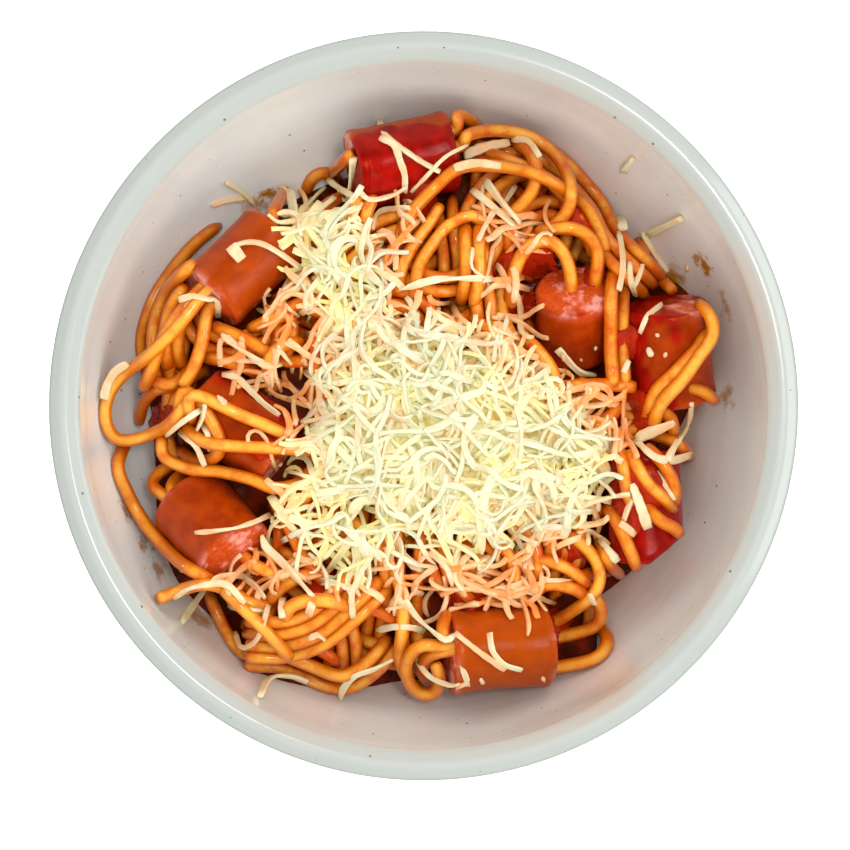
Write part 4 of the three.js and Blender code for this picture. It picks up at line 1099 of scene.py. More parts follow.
STRANDS = [
    # Behind the left side, deep by the wall.
    strand([(-44, 38.5), (-50, 33), (-55.5, 26), (-58.5, 20), (-60, 13), (-58.5, 5.5)], tone=0.9),
    strand([(-49, 30.5), (-54, 25), (-57, 18), (-57.5, 10), (-56.5, 5)], tone=0.7),
    strand([(-51, 25.5), (-54, 20), (-55, 13.5), (-54.5, 8)], copies=2, apart=2.7, tone=0.8),
    strand([(-51.5, 4), (-56.5, 3.5), (-59.5, 0.5), (-60.5, -3.5)], ("under", "free"), tone=0.8),
    strand([(-58, 5.5), (-53.5, 4.5), (-49.5, 8)], tone=0.7),
    strand([(-52.5, -12), (-57, -14.5), (-58, -18), (-56, -22.5)], ("under", "sausage_lower_left"), 2,
           2.8, tone=0.7),
    strand([(-47, 10.5), (-42, 9.5), (-37.5, 8), (-33.5, 5.5)], sauce=0.5),
    strand([(-45, 17), (-40, 15), (-35, 12.5), (-31.5, 9.5)], tone=0.7),
    strand([(-37, 16.5), (-33, 18), (-29, 19.5)], tone=0.9),
    strand([(-26, 13.5), (-29.5, 13), (-32.5, 10.5), (-33, 7), (-31.5, 3.5)], tone=0.5),
    strand([(-32.5, 40), (-31, 43), (-29.5, 46)], tone=0.9),
    strand([(-25.5, 45.5), (-23.5, 48.5), (-21, 49.5), (-18, 48.5)], tone=0.8),
    strand([(-19.5, 49.5), (-17, 52), (-15, 54)], tone=0.8),
    strand([(-13.5, 45.5), (-15, 41), (-14.5, 37)], copies=2, apart=2.8, tone=0.5),
    # Along the bottom.
    strand([(-46, -39.5), (-43.5, -45), (-40.5, -50.5), (-37.5, -53), (-35, -50.5), (-33, -46),
            (-32.5, -41)], sauce=0.4),
    strand([(-38.5, -37.5), (-35, -40.5), (-33.5, -44.5), (-30.5, -50)]),
    strand([(-33, -42), (-30.5, -39), (-26.5, -36.5), (-23.5, -36)], tone=0.6),
    strand([(-38, -55.5), (-31.5, -55.5), (-26, -57.5), (-19.5, -60), (-14.5, -59.5), (-9.5, -56),
            (-5.5, -51.5)], copies=2, apart=2.8, tone=0.5),
    strand([(-29.5, -44.5), (-26.5, -48), (-21, -48.5), (-15.5, -45.5), (-12, -42)], sauce=0.4),
    strand([(-37.5, -53.5), (-29.5, -53.5), (-21.5, -51), (-15, -46), (-7.5, -39)], ("free", "under"), 4,
           2.5),
    strand([(-29.5, -46), (-28.5, -43), (-25, -41.5), (-20.5, -41.5), (-15.5, -43)], tone=0.3),
    strand([(6.5, -51.5), (3, -52.5), (0.5, -53.5), (-0.5, -56.5), (1.5, -59)],
           ("sausage_bottom", "under"), tone=0.7),
    strand([(5, -44), (4, -47.5), (4.5, -50)], tone=0.9),
    strand([(24.5, -33), (28, -33.5), (32, -35.5), (35.5, -39)], sauce=0.45),
    strand([(23, -39), (27.5, -38), (32, -39), (35, -41)], sauce=0.45),
    strand([(37.5, -47), (39.5, -50), (38, -53), (35, -55), (31.5, -55.5)], ("under", "sausage_bottom"),
           tone=0.5),
    strand([(36, -40), (38, -43), (37.5, -46), (35, -48.5), (31.5, -49)], ("under", "sausage_bottom"),
           tone=0.5),
    strand([(31, -27.5), (35, -30.5), (37.5, -34.5), (37.5, -38.5), (34.5, -42), (31, -44)],
           ("under", "sausage_bottom"), tone=0.3),
    strand([(-6.5, -34), (-4.5, -40.5), (-4.5, -47.5), (-5, -53), (-4, -57.5)], tone=0.2, sauce=0.1),
    strand([(5.5, -50), (1.5, -50), (-2.5, -52), (-4, -56), (-2.5, -60), (0.5, -62), (3, -61),
            (3.5, -58), (2.5, -55)], ("sausage_bottom", "under"), tone=0.3, sauce=0.1),
    # The left side, on top.
    strand([(-63.5, -7.5), (-65, -13), (-63, -18.5), (-60, -24), (-56, -29), (-51.5, -33.5),
            (-46.5, -36.5), (-43.5, -38.5)], tone=0.8, sauce=0.1),
    strand([(-56.5, -41), (-53.5, -40), (-49.5, -38.5), (-45.5, -38), (-41, -39.5), (-37, -42),
            (-33, -43)], ("free", "under"), tone=0.3, sauce=0.2),
    strand([(-43, -39), (-38, -43.5), (-33, -48.5), (-28.5, -53.5)], ("under", "free"), tone=0.3,
           sauce=0.1),
    strand([(-28.5, -37.5), (-31.5, -36), (-35, -34.6), (-37.6, -33)], ("under", "sausage_lower_left"),
           tone=0.2),
    strand([(-50.5, 22), (-54, 17), (-56, 13), (-58, 7), (-59.5, 4)], ("sausage_upper_left", "free"),
           tone=0.6),
    strand([(-46, 21), (-46.5, 16), (-47.5, 12), (-49, 7.5), (-51.5, 4)], ("sausage_upper_left", "free"),
           tone=0.3),
    strand([(-50, -3), (-52, 0), (-50.5, 3), (-46.5, -1), (-43.5, -7), (-44, -10.5), (-48, -12),
            (-52, -9.5)], tone=0.4),
    strand([(-48.5, 22), (-52, 17), (-58, 11), (-65.5, 5), (-68, -1.5), (-65.5, -7.5), (-59, -6.5),
            (-53.5, -3.5), (-49.5, 2)], ("sausage_upper_left", "under"), tone=0.3, sauce=0.05),
    strand([(-56, -7), (-55, -11), (-49.5, -13.5), (-43.5, -14), (-37, -15.5), (-31.5, -17.5),
            (-25.5, -16.5)], tone=0.5),
    strand([(-51, -4.5), (-47, -7.5), (-41.5, -8.5), (-32.5, -9), (-23.5, -9.5)], tone=0.1, sauce=0.1),
    strand([(-49.5, -3), (-50, 1), (-47.5, 2), (-39, -2), (-34, -4), (-28, -7)], tone=0.1, sauce=0.1),
    # The right side.
    strand([(56.5, 4), (59.5, 3), (62, 1)], ("under", "free"), tone=1.0, sauce=0.0),
    strand([(48, -6), (53, -7.5), (57, -11)], tone=0.9),
    strand([(50, -0.5), (52.5, -2.5), (53.5, -6)], tone=0.8),
    strand([(41.5, -8.5), (42.5, -13), (43.4, -18.5), (45.1, -22)], tone=0.4),
    strand([(44, -10), (45.3, -12.6), (48, -16.8), (51.7, -20.2), (53.3, -22.4)], tone=0.3),
    strand([(48, -9), (51, -12.5), (53.2, -16.5), (53.8, -20.5)], tone=0.7, sauce=0.3),
    strand([(47, -21), (50.3, -24.4), (53.2, -26), (54.6, -27.4)], ("under", "free"), tone=0.8),
    strand([(39.2, -21.8), (41.4, -25.2), (43.9, -30.7), (45.6, -34.6)], tone=0.4, sauce=0.4),
    strand([(37, -28.5), (39.6, -33.7), (42.2, -36.2)], tone=0.4, sauce=0.4),
    strand([(29, 4), (37.5, 4.5), (45, 4)], ("under", "free"), tone=0.4, sauce=0.4),
    strand([(41, 31), (40, 25), (39.8, 18), (39.8, 11), (40.5, 4.5)], copies=2, apart=2.6, tone=0.3,
           sauce=0.4),
    strand([(21.5, 14.5), (24.5, 11.5), (27.5, 7), (28, 3), (26.5, -1)], tone=0.2),
    strand([(60.5, 16), (58.5, 12.5), (56.6, 10.4), (52.8, 6.5), (49.4, 3.1), (48.1, -0.5),
            (47.5, -3.5)], tone=0.3),
    strand([(59, 21.8), (61.2, 18.5), (61.3, 14.6), (58.3, 10.1), (55.1, 5.5), (51, 1), (49.5, -2),
            (49, -5)], tone=0.1, sauce=0.1),
    strand([(45.5, 30.5), (49, 28), (53, 24.5)], ("under", "free"), tone=0.5),
    strand([(43.5, 35), (44.5, 30.5), (44, 26)], copies=2, apart=2.6, tone=0.5),
    # The upper right, round the edge and over the top.
    strand([(24, 56.5), (29.5, 52.5), (33.5, 48.5), (38, 43), (40.5, 38), (44.5, 33.5), (51, 27.5)],
           copies=3, apart=-2.7, sauce=0.35, tone=0.6),
    strand([(31.5, 45), (34.5, 42.5), (37, 38), (39, 33)], copies=2, apart=-2.8, tone=0.6),
    strand([(1, 60.5), (4.5, 62), (8.5, 61.5), (12, 59)], ("sausage_top", "under"), tone=0.4),
    strand([(13.5, 54), (18.5, 52), (23, 50), (27.5, 48)], tone=0.5),
    strand([(19, 56.5), (22.5, 54), (24, 50), (23, 45.5), (20, 42), (17.5, 40.5)], tone=0.4),
    strand([(-4.5, 35.5), (-2.5, 41), (2, 46), (7.5, 50.5), (14.5, 51), (21.5, 50), (27.5, 47.5),
            (32, 44.5)], tone=0.7, sauce=0.1),
    strand([(3.5, 54.5), (7.5, 57), (13.5, 58.5), (20.5, 58), (26.5, 55), (30.5, 49.5), (31.5, 43.5),
            (29, 39), (23, 35.5)], ("sausage_top", "under"), tone=0.3, sauce=0.2),
    strand([(9, 38.5), (9, 33), (9, 27.5), (8, 22)], copies=2, apart=2.8, tone=0.4),
    strand([(-2, 23), (-1, 29.5), (2, 34.5), (5.5, 38.5), (10, 40.5), (13, 39)], tone=0.3),
    strand([(-5.5, 24), (-4.5, 29.5), (-2, 34.5), (1, 38.5), (3.5, 42.5)], ("under", "free"), tone=0.2),
    strand([(24.5, 37), (29, 38), (33.5, 37.5), (37, 34), (37.5, 29.5), (36.5, 27)],
           ("under", "sausage_upright"), tone=0.4),
    strand([(18.5, 21.5), (19, 27), (20.5, 32), (23.5, 35), (27, 35.5), (30, 32.5), (31.5, 29),
            (31.5, 26)], ("under", "sausage_upright"), tone=0.3, sauce=0.15),
]

shown = Bars()
for spec in STRANDS:
    row = []
    for route in side_by_side(spec["route"], spec["copies"], spec["apart"]):
        size = STRAND_RADIUS * dice.uniform(0.95, 1.05)
        laid = lie(route, size)
        for end in spec["ends"]:
            laid = laid[::-1]
            if end == "under":
                laid = dipped(laid)
            elif end != "free":
                laid = threaded(laid, end)
        row.append((laid, size))
        uneven = np.array([1 + 0.035 * noise.noise(Vector(p) * 0.15) for p in laid])
        numbers = {"tone": spec["tone"] + dice.uniform(-0.15, 0.15),
                   "sauce": spec["sauce"] + dice.uniform(-0.05, 0.05)}
        shown.sweep(laid, round_section(size, 12), uneven * cut_ends(len(laid)), numbers)
    for laid, size in row:
        raise_map(equal_steps(laid, 0.6), size * CROSSING)
shown.piece("spaghetti_shown", pasta, "pasta", ["spaghetti"])
print("highest strand %.1f mm" % heights.max())

# %% [markdown]
# Sauce between the strands. In some places so much sauce stands between the strands that it fills
# the hollows and only the backs of the strands rise out of it. Liquid levels out over a few
# millimetres, so the map of heights, averaged over that distance, gives its surface. Each patch
# goes down under the strands at its edge.

# %% Sauce in the hollows
POOLS = [  # plan place and radius
    ((31, -29), 6.0), ((34, 39.7), 4.0), ((45.6, -3), 5.5), ((47.5, -17), 6.5), ((44.5, -24), 5.0),
    ((29, -49.4), 5.5), ((-56.7, -3), 4.0), ((17.3, 29), 4.5), ((20, 22), 4.5), ((9.8, -41.3), 5.0),
    ((-1, 44.5), 4.5), ((36, 27.5), 3.5), ((-21.5, -39), 4.0), ((42.5, 13.5), 4.0),
    ((-33, -9.5), 3.5), ((24, 31), 4.5),
]
POOL_RINGS, POOL_SEGMENTS = 12, 44
POOL_HEIGHT = 40.0  # about how high the patches lie
LEVELLING = 5  # cells over which the map is averaged
POOL_LEVEL = 0.1  # the surface against the averaged map


def averaged(values, reach):
    """A map averaged over a square of cells, three times, which is nearly a round average."""
    shifts = range(-reach // 2, reach // 2 + 1)
    for _ in range(3):
        for axis in (0, 1):
            values = sum(np.roll(values, shift, axis) for shift in shifts) / len(shifts)
    return values


level_map = averaged(heights, LEVELLING)
vertices, faces = [], []
for (px, py), size in POOLS:
    centre_x, centre_y = seated(px, py, POOL_HEIGHT)
    start = len(vertices)
    for ring in range(POOL_RINGS + 1):
        share = ring / POOL_RINGS
        for i in range(POOL_SEGMENTS if ring else 1):
            turn = 2 * math.pi * i / POOL_SEGMENTS
            out = Vector((math.cos(turn), math.sin(turn), 0))
            reach = size * share * (1 + 0.4 * noise.noise(out * 1.3 + Vector((px, py, 0))))
            x, y = centre_x + reach * out.x, centre_y + reach * out.y
            z = level_map[round((y + REACH) / CELL), round((x + REACH) / CELL)] + POOL_LEVEL
            z += 0.3 * noise.noise(Vector((x, y, 5)) * 0.6) - 5 * max(0, share - 0.6)
            vertices.append((x, y, z))
    vertices.append((centre_x, centre_y, min(v[2] for v in vertices[start:]) - 1.0))
    for i in range(POOL_SEGMENTS):
        j = (i + 1) % POOL_SEGMENTS
        faces.append((start, start + 1 + i, start + 1 + j))
        for ring in range(POOL_RINGS - 1):
            a = start + 1 + ring * POOL_SEGMENTS
            faces.append((a + i, a + POOL_SEGMENTS + i, a + POOL_SEGMENTS + j, a + j))
        a = start + 1 + (POOL_RINGS - 1) * POOL_SEGMENTS
        faces.append((len(vertices) - 1, a + j, a + i))
pools = finished("sauce_between", vertices, faces, sauce_material, ["spaghetti"])
attribute(pools, "shallow", np.ones(len(vertices)))
print(len(POOLS), "patches of sauce")

# %% [markdown]
# Grated cheese. A mild semi-hard cheese, grated fine, falls as curved shreds about a millimetre
# wide and one to two centimetres long. They pile up loosely with air between them, so the heap is
# built from hundreds of true shreds, laid on the same map. Only its middle, which can't be seen,
# is a plain mound. The lowest shreds and those at the edge have taken up sauce and are tinted.
# Light goes through thin shreds so often that the heap glows yellow where it is deep. Following all
# those paths is slow, so a faint warm light of the cheese's own stands for them.

# %% Mild semi-hard cheese
cheese, tree, shader = new_material("mild_semi_hard_cheese")
place = add(tree, "ShaderNodeTexCoord").outputs["Object"]
tone = add(tree, "ShaderNodeAttribute", {"attribute_name": "tone"}).outputs["Fac"]
sauce = add(tree, "ShaderNodeAttribute", {"attribute_name": "sauce"}).outputs["Fac"]
# The tone says how deep a shred lies: deeper shreds are painted yellower, and glow more, as painted light
# that came through the shreds above.
colour = add(tree, "ShaderNodeMix", {"data_type": "RGBA", MIX_FIRST: linear("#D0D3BE"),
                                     MIX_SECOND: linear("#DECF84")}, {MIX_SHARE: tone})
stain = add(tree, "ShaderNodeTexNoise", {"Scale": 1 / (4 * MM), "Detail": 3.0}, {"Vector": place})
stain = add(tree, "ShaderNodeMapRange", {"From Min": 0.3, "From Max": 0.7, "To Min": -0.25,
                                         "To Max": 0.25}, {"Value": stain.outputs["Fac"]})
stain = add(tree, "ShaderNodeMath", {"operation": "ADD", "use_clamp": True},
            {0: sauce, 1: stain.outputs[0]})
colour = add(tree, "ShaderNodeMix", {"data_type": "RGBA", MIX_SECOND: linear("#EA8A40")},
             {MIX_SHARE: stain.outputs[0], MIX_FIRST: colour.outputs[MIX_RESULT]})
torn = add(tree, "ShaderNodeTexNoise", {"Scale": 1 / (0.6 * MM), "Detail": 3.0}, {"Vector": place})
bump = add(tree, "ShaderNodeBump", {"Strength": 0.35, "Distance": 0.12 * MM},
           {"Height": torn.outputs["Fac"]})
glow = add(tree, "ShaderNodeMix", {"data_type": "RGBA", MIX_FIRST: (0.95, 0.82, 0.26, 1),
                                   MIX_SECOND: (1.0, 0.35, 0.05, 1)}, {MIX_SHARE: stain.outputs[0]})
tree.links.new(colour.outputs[MIX_RESULT], shader.inputs["Base Color"])
tree.links.new(glow.outputs[MIX_RESULT], shader.inputs["Emission Color"])
tree.links.new(bump.outputs["Normal"], shader.inputs["Normal"])
depth_glow = add(tree, "ShaderNodeMapRange", {"To Min": 0.04, "To Max": 0.3}, {"Value": tone})
tree.links.new(depth_glow.outputs[0], shader.inputs["Emission Strength"])
shader.inputs["Roughness"].default_value = 0.5
shader.inputs["IOR"].default_value = 1.4
shader.inputs["Subsurface Weight"].default_value = 0.35
shader.inputs["Subsurface Radius"].default_value = (1.0, 1.0, 1.0)
shader.inputs["Subsurface Scale"].default_value = 0.6 * MM

# %% [markdown]
# The mound under the shreds follows the same lobes as the plain solid, lower by as much as the shreds
# stand on it. It is a grid of cells wherever a lobe stands above the food, closed by a smooth
# underside. It only fills the lobes that the shreds cover thickly.

# %% Mound of cheese
LOBES = [  # plan, half length and width, the way the length runs in degrees, and how densely it is covered
    ((6, -4.5), (34, 21), -27, 1.0), ((-18, 29), (18, 9.5), -62, 0.65), ((-15, -16), (18, 15), 70, 0.55),
    ((2, -25), (24, 9), 0, 0.4), ((31, -12), (14, 8), -80, 0.5), ((-21, -29), (13, 9), -40, 0.2),
]
CHEESE_LIFT = 11.0  # how far the middle of a lobe stands above the heap's form
MOUND_DROP = 9.5  # how thick the shreds lie on the mound
MOUND_CELL = 1.0
MOUND_COVER = 0.75  # lobes that are covered less have no mound
MOUND_EDGE = 0.2  # the mound ends this deep inside a lobe
MOUND_UNDER = 4  # its underside lies this far below the heap's form
MOUND_AREA = (-42, -45), (48, 56)  # two corners of the grid

strands_below = heights.copy()


def lobe_depth(x, y, least_cover=0.0):
    """How far inside the lobes a true place lies: 1 in the middle, 0 at the edge, less outside."""
    best = np.full(np.shape(x), -9.0)
    for (px, py), (half_length, half_width), degrees, cover in LOBES:
        if cover < least_cover:
            continue
        cx, cy = seated(px, py, float(heap_height(px, py)))
        turn = math.radians(degrees)
        along = (x - cx) * math.cos(turn) + (y - cy) * math.sin(turn)
        across = (y - cy) * math.cos(turn) - (x - cx) * math.sin(turn)
        best = np.maximum(best, 1 - (along / half_length) ** 2 - (across / half_width) ** 2)
    return best


def mound_height(x, y):
    """Height of the mound: over the strands in the middle of a lobe, and sunk at its edge."""
    depth = lobe_depth(x, y, MOUND_COVER) - MOUND_EDGE
    lump = np.vectorize(lambda a, b: noise.noise(Vector((a, b, 3)) * 0.35))(x, y)
    form = heap_height(x, y) + CHEESE_LIFT * np.sqrt(depth.clip(0)) - MOUND_DROP + 0.9 * lump
    rows = np.clip(np.round((y + REACH) / CELL).astype(int), 0, heights.shape[0] - 1)
    columns = np.clip(np.round((x + REACH) / CELL).astype(int), 0, heights.shape[1] - 1)
    over = strands_below[rows, columns] + 0.8 * np.clip(depth * 4 - 0.8, -2, 1)
    return np.where(depth < 0.02, form - 20, np.where(depth > 0.12, np.maximum(form, over), form))


def relief(name, low, high, top, bottom, material, slot, replaced):
    """A closed relief over the cells where its top stands above its bottom."""
    xs = np.arange(low[0], high[0] + MOUND_CELL, MOUND_CELL)
    ys = np.arange(low[1], high[1] + MOUND_CELL, MOUND_CELL)
    x, y = np.meshgrid(xs, ys)
    z_top, z_bottom = top(x, y), bottom(x, y)
    solid = z_top > z_bottom
    keep = solid[:-1, :-1] & solid[1:, :-1] & solid[:-1, 1:] & solid[1:, 1:]
    number = np.arange(x.size).reshape(x.shape)
    vertices = [*zip(x.flat, y.flat, z_top.flat), *zip(x.flat, y.flat, z_bottom.flat)]
    faces = []
    for r, c in zip(*np.nonzero(keep)):
        a, b, d, e = number[r, c], number[r, c + 1], number[r + 1, c + 1], number[r + 1, c]
        faces += [(a, b, d, e), (a + x.size, e + x.size, d + x.size, b + x.size)]
        for (p, q), (nr, nc) in zip([(a, b), (b, d), (d, e), (e, a)],
                                    [(r - 1, c), (r, c + 1), (r + 1, c), (r, c - 1)]):
            if not (0 <= nr < keep.shape[0] and 0 <= nc < keep.shape[1] and keep[nr, nc]):
                faces.append((q, p, p + x.size, q + x.size))
    used = sorted({v for face in faces for v in face})
    place_of = {v: i for i, v in enumerate(used)}
    faces = [tuple(int(place_of[v]) for v in face) for face in faces]
    return finished(name, [vertices[v] for v in used], faces, material, replaced)


def mound_underside(x, y):
    """Height of the underside of the mound."""
    return heap_height(x, y) - MOUND_UNDER


mound = relief("cheese_mound", *MOUND_AREA, mound_height, mound_underside, cheese, "cheese",
               ["grated_cheese"])
# The hidden mound gets a deep tone: painted yellow light.
attribute(mound, "tone", np.full(len(mound.data.vertices), 0.8))
attribute(mound, "sauce", np.full(len(mound.data.vertices), 0.05))
heights = np.maximum(heights, mound_height(grid_x, grid_y))
print("mound:", len(mound.data.polygons), "faces")

# %% [markdown]
# Shreds. The hole of a grater cuts a shred with one flat and one rounded face, ragged along its
# edges and blunt at its ends. It curls as it leaves the hole, so a shred is a wide bend, and often
# has a hook at one end. It is less stiff than a strand, and a soaked one is limp: how often its line
# is pulled straight over hollows says how stiff it is. An arch or a raised end gives the heap its air.

# %% Shreds in the heap
SHRED_HALF_WIDTH, SHRED_HALF_THICKNESS = 0.6, 0.36
SHRED_SIDES = 6
SHRED_STEP = 1.1
HEAP_SHREDS = 910
STAINED_SHREDS = 110
HEAP_AREA = (-46, 50), (-48, 54)  # plan millimetres across and away in which the heap lies
CHEESE_HEIGHT = 42.0  # about how high it lies
CURL_STEP = 1.3


def shred_section(width):
    """A flat bar with a rounded underside, as points (across, up)."""
    w, t = SHRED_HALF_WIDTH * width, SHRED_HALF_THICKNESS * (0.7 + 0.3 * width)
    return np.array([(-w, 0.1 * t), (-0.6 * w, -t), (0.6 * w, -t), (w, 0.1 * t), (0.75 * w, 0.9 * t),
                     (-0.75 * w, 0.9 * t)])


def lay_shred(bars, route, width=1.0, tone=0.2, sauce=0.0, arch=0.0, lift=0.0, stiffness=7,
              step=SHRED_STEP, tips=1.0):
    """Lays one shred and adds it to a mesh; arch raises its middle, and lift its far end."""
    laid = lie(route, 0.45 * width, step=step, stiffness=stiffness)
    count = len(laid)
    share = np.linspace(0, 1, count)
    laid[:, 2] += arch * np.sin(math.pi * share) + lift * share ** 2
    raise_map(equal_steps(laid, 0.7), 0.16 * width)
    point = dice.choice([0.55, 0.8, 0.9, 0.95])
    ends = np.minimum(1, np.minimum(point * tips + 4 * share, 0.9 * tips + 3 * (1 - share)))
    swell, phase = dice.uniform(0, 0.15), dice.uniform(0, 6.3)
    ragged = np.array([1 + dice.uniform(-0.1, 0.1) + swell * math.sin(phase + 4 * s) for s in share])
    bars.sweep(laid, shred_section(width), ends * ragged, {"tone": tone, "sauce": sauce},
               twist=dice.gauss(0, 0.12), roll=dice.gauss(0, 0.5))


def curled_route(x, y, length):
    """A plan route of a shred about a place: a wide bend, and often a hook at one end."""
    steps = max(4, round(length / CURL_STEP))
    heading = dice.uniform(0, 2 * math.pi)
    bend, sway, phase = dice.gauss(0, 0.08), dice.uniform(0, 0.16), dice.uniform(0, 6.3)
    hook = dice.choice([0, 0, -1, 1]) * dice.uniform(0.15, 0.5)
    kink, kinked_at = dice.choice([0, 0, -1, 1]) * dice.uniform(0.3, 0.9), dice.randrange(steps)
    route = [(0.0, 0.0)]
    for k in range(steps):
        share = k / steps
        heading += CURL_STEP * (bend + sway * math.sin(phase + 5 * share) + (hook if share > 0.65 else 0))
        heading += dice.gauss(0, 0.09) + (kink if k == kinked_at else 0)
        x_before, y_before = route[-1]
        route.append((x_before + CURL_STEP * math.cos(heading), y_before + CURL_STEP * math.sin(heading)))
    middle_x, middle_y = route[steps // 2]
    return [(x + px - middle_x, y + py - middle_y) for px, py in route]


def place_in_lobes(low, high, at_edge=1.0):
    """A random plan place between two depths in a lobe, by how densely the lobe is covered."""
    while True:
        x, y = dice.uniform(*HEAP_AREA[0]), dice.uniform(*HEAP_AREA[1])
        place = seated(x, y, CHEESE_HEIGHT)
        depth = float(lobe_depth(*place))
        covers = [lobe[3] for lobe in LOBES if float(lobe_depth(*place, lobe[3])) > low]
        cover = max(covers, default=0) * min(1, at_edge + 2.5 * max(0.0, depth))
        if depth < high and clear_of_sausage(*place) and dice.random() < cover:
            return x, y


SOAKED = [  # where shreds have softened in the sauce: plan place, spread both ways, how many
    ((20.5, 37), (8, 6), 12), ((-29.5, 20), (4, 6), 12), ((-30, 2), (4, 10), 12),
    ((-26, -36), (9, 4), 8), ((12, -39), (18, 4.5), 34), ((39, -3), (5, 8), 12),
    ((18.5, 23), (2.5, 7), 8), ((-38, 9), (6, 4), 5), ((-5, 37), (4, 5), 7),
    ((-36, -37), (5, 4), 7),
]
stained = Bars()
for (x, y), (wide, deep), count in SOAKED:
    for k in range(count):
        lay_shred(stained,
                  curled_route(x + wide * dice.uniform(-1, 1), y + deep * dice.uniform(-1, 1),
                               dice.uniform(6, 14)),
                  dice.uniform(0.8, 1.5), 0.3, dice.uniform(0.45, 0.95), stiffness=1)
for k in range(STAINED_SHREDS):
    x, y = place_in_lobes(-0.4, 0.3)
    lay_shred(stained, curled_route(x, y, dice.uniform(5, 11)), dice.uniform(0.8, 1.4), 0.4,
              dice.uniform(0.2, 0.75), stiffness=4)
stained.piece("cheese_stained", cheese, "cheese", ["grated_cheese"])
heap = Bars()
# A shred's tone grows with how early and how deep it lies, which paints it yellower: painted light.
for k in range(HEAP_SHREDS):
    late = k / HEAP_SHREDS
    x, y = place_in_lobes(0.05 - 0.1 * late, 1.0, 0.3)
    edge = 1 - min(1, 1.7 * max(0.0, float(lobe_depth(*seated(x, y, CHEESE_HEIGHT)))))
    lay_shred(heap, curled_route(x, y, dice.uniform(8, 14 + 5 * late) * (1 - 0.25 * edge)),
              dice.uniform(0.7, 1.15) * dice.choice([1, 1, 1, 1, 1.5]),
              dice.uniform(0.6, 1.0) * (1 - 0.85 * late) * (1 - 0.6 * edge),
              max(0.0, 0.6 * edge * (1 - 0.6 * late) + dice.uniform(-0.12, 0.06)),
              arch=dice.choice([0, 0, 0.3, 0.6]), lift=dice.choice([0, 0, 0.4, 0.8]) * (1 - 0.5 * late))
heap.piece("cheese_heap", cheese, "cheese", ["grated_cheese"], SHRED_SIDES)
print("highest shred %.1f mm" % heights.max())

# %% [markdown]
# Shreds that fell beside the heap. They lie one by one on strands, on frankfurters and on the wall,
# so each has its own route. Some are broad pieces, and some curl into hooks.

# %% Loose shreds
LOOSE_BREADTH = 1.15  # what fell beside the heap is a little broader than the shreds in it


def loose(route, width=1.0, sauce=0.12):
    return {"route": route, "width": width, "sauce": sauce}


